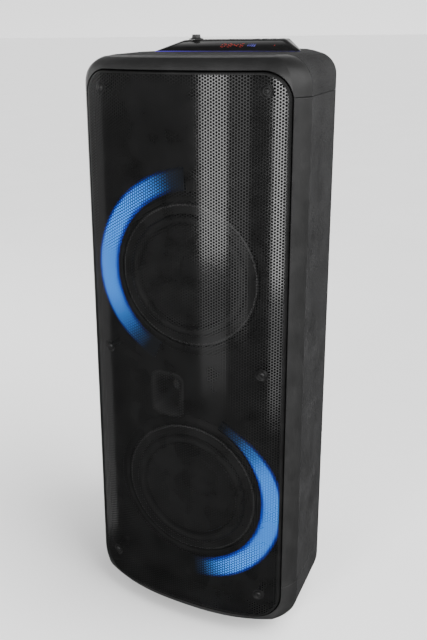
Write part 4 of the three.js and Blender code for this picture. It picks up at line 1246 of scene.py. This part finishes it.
def add_panel():
    rings = panel_rings()
    round_ring = [1] * PANEL_DARK_EDGES + [0] * (len(rings[0]) - PANEL_DARK_EDGES)
    slots = round_ring * (len(rings) - 1) + [0, 0]
    panel = solid("control_panel_cover", *lofted(rings), [PANEL_GREY, PANEL_FRONT], slots)
    hollow = [panel_ring(0, PANEL_BASE_Z - 1, PANEL_INSET), panel_ring(0, PANEL_BASE_Z, PANEL_INSET),
              panel_ring(1 - PANEL_ROOF / PANEL.size[2], PANEL_TOP_Z - PANEL_ROOF, PANEL_INSET)]
    cuts = [tool(shape, [PANEL_GREY]) for shape in (lofted(hollow), *panel_openings())]
    for part in (panel, cuts[0]):
        split_across(part, [0, *(key.x for key in KEYS.values()), KNOB.x])
    carve(panel, [painted(cutter, 1) for cutter in cuts])
    finished(panel, "panel_plastic", "control_panel", sharp=25)
    glass = slope_slab(window_outline(0.4), -1.15, -0.15, 0.3)
    piece("display_glass", glass, GLOSS, "display_gloss", "display_window")


DISPLAY_DIGITS = ("abcdef", "abcdfg", "fgbc", "afgcd")  # the lit bars of 0945
BAR_PLACES = {"a": (0.5, 1), "b": (1, 0.75), "c": (1, 0.25), "d": (0.5, 0), "e": (0, 0.25), "f": (0, 0.75),
              "g": (0.5, 0.5)}
DIGIT_SIZE = (6.2, 10.5)
DIGIT_FOOT = (-13.0, 15.5)
DIGIT_PITCH = 10.2
DIGIT_LEAN = 0.1
BAR_THICK = 1.25


def digit_bar(bar, index):
    """One bar of a seven-bar digit, as an outline on the slope."""
    lying = bar in "adg"
    half = ((DIGIT_SIZE[0] if lying else DIGIT_SIZE[1] / 2) - BAR_THICK * 1.3) / 2
    side, tip = half - BAR_THICK / 2, BAR_THICK / 2
    shape = [(-half, 0), (-side, -tip), (side, -tip), (half, 0), (side, tip), (-side, tip)]
    outline = np.array(shape if lying else [(-b, a) for a, b in shape])
    outline += np.multiply(BAR_PLACES[bar], DIGIT_SIZE)
    outline[:, 0] += DIGIT_LEAN * outline[:, 1] + index * DIGIT_PITCH
    return outline + DIGIT_FOOT


def add_display():
    digits = [digit_bar(bar, i) for i, bars in enumerate(DISPLAY_DIGITS) for bar in bars]
    marks = []
    for i in range(4):
        marks.append(rounded_rect(32 + i * 3.6, 24.5, 2.4, 1.6, 0.5, 3))
        marks.append(rounded_rect(32 + i * 3.6, 19.5, 2.4, 2.6 + i * 1.2, 0.5, 3))
    for name, outlines, material, top in (
        ("display_digits", digits, DIGIT_LIT, -0.08),
        ("display_marks", marks, DIGIT_BLUE, -0.08),
        # painted glow: the receiver's window takes the lit digits' finish, though a receiver gives no light
        ("receiver_glow_dot", [rounded_rect(75, 20, 1.8, 1.8, 0.85, 6)], DIGIT_LIT, 0.1),
    ):
        shapes = [slope_slab(outline, -0.4, top) for outline in outlines]
        piece(name, merged(*shapes), material, "display_gloss")


def add_panel_glow():
    """A thin strip of light at the panel's foot, strongest at its left end."""
    half, y, z = PANEL_BASE_HALF - 3, PANEL_FRONT_Y - 0.1, PANEL_BASE_Z
    section = [(y - 0.5, z - 0.1), (y + 0.6, z - 0.1), (y + 0.6, z + 0.25), (y - 0.3, z + 0.45)]
    rings, levels = [], []
    for x in np.linspace(-half, half, 41):
        rings.append([(x, *place) for place in section])
        part = (x + half) / (2 * half)
        level = 1.2 * math.exp(-((part / 0.32) ** 2)) + 0.25 * math.exp(-(((part - 0.62) / 0.12) ** 2))
        levels += [level] * len(section)
    strip = solid("panel_glow_strip", *lofted(rings), [EDGE_GLOW])
    store(strip, "along", levels)
    finished(strip, "light_guide")


def add_knob():
    foot, top, skirt_r = KNOB.low[2], KNOB.high[2], KNOB.high[0] - KNOB.x
    corners = [(3.3, foot), (skirt_r, foot), (skirt_r, foot + 1.3), (8.4, foot + 2.3), (7.3, foot + 2.9),
               (6.7, top - 0.5), (6.2, top), (4.6, top), (4.2, top - 0.35), (0, top - 0.35)]
    bore = [(0, top - 2.7), (3.3, top - 2.7)]
    profile = np.concatenate([filleted(corners, 0.35, 3, closed=False), bore])

    def knurl(radius, height, angle):
        """Ridges round the knob's side."""
        grip = 6.0 < radius < 7.4 and foot + 2.9 < height < top
        return radius + (0.28 * abs(math.sin(18 * angle)) - 0.28 if grip else 0)

    cap = turned(profile[::-1], (KNOB.x, KNOB.y), axis="z", segments=216, ripple=knurl)
    piece("volume_knob_cap", cap, KNOB_BLACK, "knob_plastic", "volume_knob", body="knob", sharp=35)
    pointer = slab(rounded_rect(KNOB.x, KNOB.y + 10, 0.9, 2.6, 0.4, 4), foot + 0.9, foot + 1.95, axis="z")
    piece("volume_pointer", pointer, MARK_WHITE, "knob_plastic", body="knob")


def icon_outlines(name, x, y):
    """The raised mark on a key, as outlines seen from above."""

    def arrow(dx, facing, size=1.5):
        back, tip = x + dx - facing * size * 0.6, x + dx + facing * size * 0.8
        return np.array([(back, y - size), (tip, y), (back, y + size)][::facing])

    bars = [rounded_rect(x + dx, y, 0.6, 3, 0.2, 2) for dx in (1.4, 2.6)]
    around = [(x + 2.3 * math.cos(a), y + 2.3 * math.sin(a)) for a in np.radians(45 * np.arange(8))]
    rays = [rounded_rect(*centre, 0.7, 0.7, 0.3, 2) for centre in around]
    return {
        "play": [arrow(-1.2, 1, 1.6), *bars],
        "previous": [arrow(-0.9, -1), arrow(1.3, -1)],
        "next": [arrow(-1.3, 1), arrow(0.9, 1)],
        "light": [rounded_rect(x, y, 2.2, 2.2, 1.05, 5), *rays],
    }[name]


def add_keys():
    for name, key in KEYS.items():
        body, foot, top = f"{name}_key", key.low[2], key.high[2]
        outline = rounded_rect(key.x, key.y, key.size[0], key.size[1], 2.2, 6)
        section = ((foot, 0), (top - 1.4, 0), (top - 0.75, 0.2), (top - 0.35, 0.7), (top - 0.12, 1.6),
                   (top - 0.1, 2.2))
        cap = lofted([level_at(grown(outline, -inset), z) for z, inset in section])
        piece(f"{name}_key_cap", cap, KEY_RUBBER, "button_rubber", f"{name}_button", body=body, sharp=35)
        marks = [slab(mark, top - 0.3, top - 0.01, axis="z") for mark in icon_outlines(name, key.x, key.y)]
        piece(f"{name}_key_icon", merged(*marks), MARK_WHITE, "button_rubber", body=body)


# ------------------------------------------------------------------ rear
FIN_PITCH, FIN_REACH = 7, 42  # the cooling fins' spacing, and the last one's distance from the middle
GROOVES_Z = (195, 325)
FITTING_SEAT_Y = PLATE_BACK_Y + FIT
INLET, SWITCH, USB = Place("mains_inlet"), Place("power_switch_housing"), Place("usb_port")
JACKS = {name: Place(name) for name in ("mic_jack", "guitar_jack")}


def add_amplifier_plate():
    fins_x = range(-FIN_REACH, FIN_REACH + 1, FIN_PITCH)
    fins = [plug(x, 260, 1.8, 90, 0.85, 3, 146, PLATE_SEAT_Y + 1) for x in fins_x]
    base = plug(0, 260, 92, 92, 2, 3, PLATE_SEAT_Y - 4, PLATE_SEAT_Y + 1)
    cuts = []
    for at, width, height, corner in ((INLET, 23, 17, 1.5), (SWITCH, 16, 22, 1), (USB, 15.6, 8.4, 1)):
        cuts.append(plug(at.x, at.z, width, height, corner, 4, PLATE_HOLE_Y, OUTSIDE))
    cuts += [rod(6.3, at.x, at.z, PLATE_HOLE_Y, OUTSIDE) for at in JACKS.values()]
    cuts += [rod(SCREW_HOLE_R, at.x, at.z, PLATE_HOLE_Y, OUTSIDE, 24) for at in PLATE_SCREWS]
    cuts += [plug(0, z, 128, 1.2, 0.5, 4, PLATE_BACK_Y - 0.5, OUTSIDE) for z in GROOVES_Z]
    plate = slab(plate_outline(0, 10), PLATE_SEAT_Y, PLATE_BACK_Y, 0.7)
    piece("amplifier_panel", plate, BLACK_STEEL, "amplifier_plate", "amplifier_plate", [base, *fins], cuts)


def add_fitting(name, node, material, slot, flange, barrel, overlap, barrel_edge, hole):
    """A flange on the plate's back, a barrel through the plate and a hole into it.

    flange is its corner, its steps and its edge; barrel its width, height, corner and steps.
    """
    at = Place(node)
    corner, steps, edge = flange
    rim = plug(at.x, at.z, at.size[0], at.size[2], corner, steps, FITTING_SEAT_Y, at.high[1], edge)
    inner = plug(at.x, at.z, *barrel, at.low[1], FITTING_SEAT_Y + overlap, barrel_edge)
    piece(name, rim, material, slot, node, [inner], [hole])


def add_inlet():
    x, z, front = INLET.x, INLET.z, INLET.low[1]
    nose = [(-9.7, -6.7), (9.7, -6.7), (9.7, 3.2), (6.2, 6.7), (-6.2, 6.7), (-9.7, 3.2)]
    hole = slab(filleted(np.array(nose) + (x, z), 1.0, 3), front + 6, OUTSIDE)
    add_fitting("mains_inlet_frame", "mains_inlet", BLACK_PLASTIC, "black_plastic", (3, 6, 0.6),
                (22.4, 16.4, 2, 5), 0.5, 0.4, hole)
    places = [(x - 6, z - 1.5), (x, z + 1.5), (x + 6, z - 1.5)]
    pins = [plug(*place, 1.6, 4, 0.3, 3, front + 4, FITTING_SEAT_Y - 4, 0.3) for place in places]
    piece("mains_inlet_pins", merged(*pins), STEEL, "bare_steel")


def add_rocker():
    hole = plug(SWITCH.x, SWITCH.z, 13, 19, 0.6, 3, 154, OUTSIDE)
    add_fitting("power_switch_frame", "power_switch_housing", BLACK_PLASTIC, "black_plastic", (2.5, 6, 0.4),
                (15.4, 21.4, 1.2, 4), 0.4, 0.3, hole)
    joint = next(j for j in frame["joints"] if j["name"] == "power_rock")
    axis_y, axis_z = joint["pos_m"][1] / MM, joint["pos_m"][2] / MM
    half, width, tilt = 7.9, 11.8, math.radians(8)
    dish = [(half - 1.0, 3.5), (half * 0.5, 2.5), (0, 1.6), (-half * 0.5, 2.5), (-half + 1.0, 3.5)]
    corners = [(half, 3.3), *dish, (-half, 3.3), (-half, 1), (-3.5, -4.2), (3.5, -4.2), (half, 1)]
    profile = filleted(corners, 0.8, 3)

    def leaned(points, offset):
        """Points of (up, out) leaned back about the axle, at a distance across."""
        up, out = np.array(points).T
        y = axis_y - up * math.sin(tilt) + out * math.cos(tilt)
        z = axis_z + up * math.cos(tilt) + out * math.sin(tilt)
        return np.column_stack([np.full(len(up), SWITCH.x + offset), y, z])

    rings = []
    centre = np.mean(profile, axis=0)
    for offset, scale in ((-width / 2, 0.94), (-width / 2 + 0.5, 1), (width / 2 - 0.5, 1), (width / 2, 0.94)):
        rings.append(leaned(centre + (profile - centre) * scale, offset))
    piece("power_rocker_key", lofted(rings), GLOSS, "display_gloss", "power_rocker", body="rocker")
    mark = [(3.2, 3.2), (6.2, 3.6), (6.2, 2.2), (3.2, 2.0)]
    bar = lofted([leaned(mark, offset) for offset in (-0.35, 0.35)])
    piece("power_rocker_mark", bar, MARK_WHITE, "display_gloss", body="rocker")


def add_jacks():
    for name, at in JACKS.items():
        seat, front, rear = FITTING_SEAT_Y, at.low[1], at.high[1]
        barrel = [(3.3, front), (6, front), (6, seat), (8, seat), (8, seat + 0.9), (6.6, rear - 0.3),
                  (5, rear), (3.3, rear)]
        sleeve = [(3.32, seat - 6), (4.1, seat - 6), (4.1, rear), (3.32, rear)]
        outside = turned(filleted(barrel, 0.4, 3), (at.x, at.z), segments=60)
        piece(f"{name}_barrel", outside, BLACK_PLASTIC, "black_plastic", name, sharp=35)
        lining = turned(filleted(sleeve, 0.2, 2), (at.x, at.z), segments=48)
        piece(f"{name}_sleeve", lining, STEEL, "bare_steel", sharp=35)


def add_usb():
    hole = plug(USB.x, USB.z, 12.4, 5.2, 0.5, 3, 155, OUTSIDE)
    add_fitting("usb_port_shell", "usb_port", STEEL, "bare_steel", (1.2, 4, 0.3), (14.4, 7.2, 0.8, 4), 0.4, 0,
                hole)
    tongue = plug(USB.x, USB.z + 1.3, 10.4, 1.6, 0.3, 3, 154.8, FITTING_SEAT_Y - 2, 0.2)
    piece("usb_port_tongue", tongue, MARK_WHITE, "bare_steel")


def add_port():
    front, rear, inner_r, outer_r = PORT.low[1], HALF_DEPTH, 30, 32.5
    flare_turn, lip_turn = np.radians([0, 30, 60, 90]), np.radians(np.linspace(0, 90, 9))
    profile = [(inner_r + 6 * (1 - math.sin(a)), front + 14 * (1 - math.cos(a))) for a in flare_turn]
    profile += [(inner_r + 7 * (1 - math.cos(a)), rear - 7 + 6.8 * math.sin(a)) for a in lip_turn]
    profile += [(PORT_FLANGE_R, rear - 1.4), (PORT_FLANGE_R, rear - 2.6), (outer_r, rear - 2.6),
                (outer_r, front + 14), (outer_r + 6, front + 2)]
    flare = turned(profile, (0, PORT.z), segments=128)
    piece("bass_port_flare", flare, BLACK_PLASTIC, "black_plastic", "bass_port", sharp=35)


# ------------------------------------------------------------------ pieces kept from the CAD
KEPT_NODES = {  # material, slot and how far the edges are rounded
    "upper_led_board": (BOARD, "circuit_board", 0.1),
    "lower_led_board": (BOARD, "circuit_board", 0.1),
    "control_board": (BOARD, "circuit_board", 0.2),
    "amplifier_board": (BOARD, "circuit_board", 0.4),
    "power_supply": (BOARD, "circuit_board", 0.4),
    "battery_pack": (BATTERY, "battery_wrap", 2.0),
}


def keep_inner_pieces():
    """Gives the carried-over nodes their finish and soft edges."""
    for node, (material, slot, bevel) in KEPT_NODES.items():
        obj = frame["nodes"][node]
        if not obj.material_slots:
            obj.data.materials.append(material)
        for place in obj.material_slots:
            place.material = material
        edges = obj.modifiers.new("edges", "BEVEL")
        edges.width = bevel * MM
        edges.segments = 2
        edges.limit_method = "ANGLE"
        edges.angle_limit = math.radians(40)


# ------------------------------------------------------------------ camera, lights and floor
CAMERA_PLACE = Vector((0.4790, -1.1286, 0.9495))
CAMERA_YAW, CAMERA_PITCH, CAMERA_ROLL = (math.radians(a) for a in (26.9727, 15.5553, -0.9456))
CAMERA_LENS = 43.40
CAMERA_SHIFT = (0.0665, -0.1249)
FLOOR_REACH = 60.0


def add_camera():
    camera = linked("camera", bpy.data.cameras.new("camera"))
    bpy.context.scene.camera = camera
    ahead = Vector((-math.sin(CAMERA_YAW) * math.cos(CAMERA_PITCH),
                    math.cos(CAMERA_YAW) * math.cos(CAMERA_PITCH), -math.sin(CAMERA_PITCH)))
    level = Vector((math.cos(CAMERA_YAW), math.sin(CAMERA_YAW), 0))
    over = level.cross(ahead)
    right = math.cos(CAMERA_ROLL) * level + math.sin(CAMERA_ROLL) * over
    up = -math.sin(CAMERA_ROLL) * level + math.cos(CAMERA_ROLL) * over
    turn = Matrix((right, up, -ahead)).transposed()
    camera.matrix_world = Matrix.Translation(CAMERA_PLACE) @ turn.to_4x4()
    camera.data.sensor_width = 36
    camera.data.lens = CAMERA_LENS
    camera.data.shift_x, camera.data.shift_y = CAMERA_SHIFT
    camera.data.clip_end = 100


def add_light(name, place, aim, size, watts):
    """A soft box that looks at a point."""
    light = bpy.data.lights.new(name, "AREA")
    light.shape = "RECTANGLE"
    light.size, light.size_y = size
    light.energy = watts
    obj = linked(name, light)
    obj.location = place
    obj.rotation_euler = (Vector(place) - Vector(aim)).to_track_quat("Z", "Y").to_euler()


def add_sun(name, direction, strength):
    """A broad, even light from one direction, far away."""
    light = bpy.data.lights.new(name, "SUN")
    light.energy = strength
    light.angle = math.radians(60)
    obj = linked(name, light)
    obj.rotation_euler = Vector(direction).to_track_quat("Z", "Y").to_euler()
    return obj


def round_point(azimuth, distance, height):
    """A place round the object. Azimuth 0 is in front of it and 90 to its right."""
    angle = math.radians(azimuth)
    return (distance * math.sin(angle), -distance * math.cos(angle), height)


# Tall soft boxes show in the grille as upright bands, and a dimmer box below one lets its band end softly.
STRIPS = {  # azimuth, distance, width, low and high ends, watts per square metre
    "front_strip": (-9, 2.2, 0.54, 0, 1.5, 72),
    "front_strip_low": (-9, 2.2, 0.54, -0.6, 0, 12),
    "middle_strip": (5, 2.4, 0.45, -0.4, 1.5, 13),
    "camera_strip": (27.5, 2.6, 0.34, -0.25, 1.5, 96),
    "camera_strip_low": (27.5, 2.6, 0.34, -0.9, -0.25, 24),
    "left_strip": (-74, 2.4, 0.6, -1.5, 1.5, 5),
}


def add_floor():
    """A plain sheet of paper that reaches to the horizon."""
    mesh = bpy.data.meshes.new("floor")
    corners = [(-FLOOR_REACH, -FLOOR_REACH, 0), (FLOOR_REACH, -FLOOR_REACH, 0), (FLOOR_REACH, FLOOR_REACH, 0),
               (-FLOOR_REACH, FLOOR_REACH, 0)]
    mesh.from_pydata(corners, [], [(0, 1, 2, 3)])
    finish = Finish("floor_paper")
    finish.colour(finish.noise(400, 2), (0.3, grey(0.86)), (0.7, grey(0.88)))
    finish.gloss(finish.noise(60), 0.75, 0.85)
    mesh.materials.append(finish.material)
    floor = linked("floor", mesh)
    floor.visible_glossy = False
    floor.visible_shadow = False
    return floor


def add_world():
    """Even light that is brighter behind the object than in front, dims upwards and is weak from below."""
    world = bpy.data.worlds.new("studio")
    bpy.context.scene.world = world
    world.use_nodes = True
    tree = world.node_tree
    direction = add_node(tree, "ShaderNodeTexCoord").outputs["Generated"]
    parts = add_node(tree, "ShaderNodeSeparateXYZ", {"Vector": direction}).outputs

    def arithmetic(operation, *values):
        return add_node(tree, "ShaderNodeMath", dict(enumerate(values)), operation=operation).outputs["Value"]

    behind = arithmetic("MULTIPLY_ADD", parts["Y"], 0.7, 1.3)
    level = arithmetic("MULTIPLY_ADD", parts["Z"], -2.2, behind)
    above = add_node(tree, "ShaderNodeMapRange", {"Value": parts["Z"], "From Min": -0.12, "From Max": -0.05})
    strength = arithmetic("MULTIPLY", level, above.outputs["Result"])
    background = tree.nodes["Background"]
    tree.links.new(arithmetic("MAXIMUM", strength, 0.04), background.inputs["Strength"])
    background.inputs["Color"].default_value = (1, 1, 1, 1)


def add_studio():
    floor = add_floor()
    add_world()
    for name, (azimuth, distance, width, low, high, brightness) in STRIPS.items():
        middle, height = (low + high) / 2, high - low
        place = round_point(azimuth, distance, middle)
        add_light(name, place, (0, -0.15, middle), (width, height), brightness * width * height)
    add_light("left_box", round_point(-95, 2.2, 0.9), (0, 0, 0.4), (0.8, 1.6), 14)
    add_sun("side_sun", (0.95, -0.08, 0.55), 4.0)
    only_floor = bpy.data.collections.new("lit_by_floor_sun")
    only_floor.objects.link(floor)
    add_sun("floor_sun", (0.5, 0.2, 0.9), 4.0).light_linking.receiver_collection = only_floor


# ------------------------------------------------------------------ assembly
add_camera()
add_cabinet()
add_baffle()
add_light_guides()
for woofer_level in LEVELS:
    add_woofer(woofer_level)
add_tweeter()
add_grille()
add_screws()
add_feet()
add_panel()
add_display()
add_panel_glow()
add_knob()
add_keys()
add_amplifier_plate()
add_inlet()
add_rocker()
add_jacks()
add_usb()
add_port()
keep_inner_pieces()
add_studio()
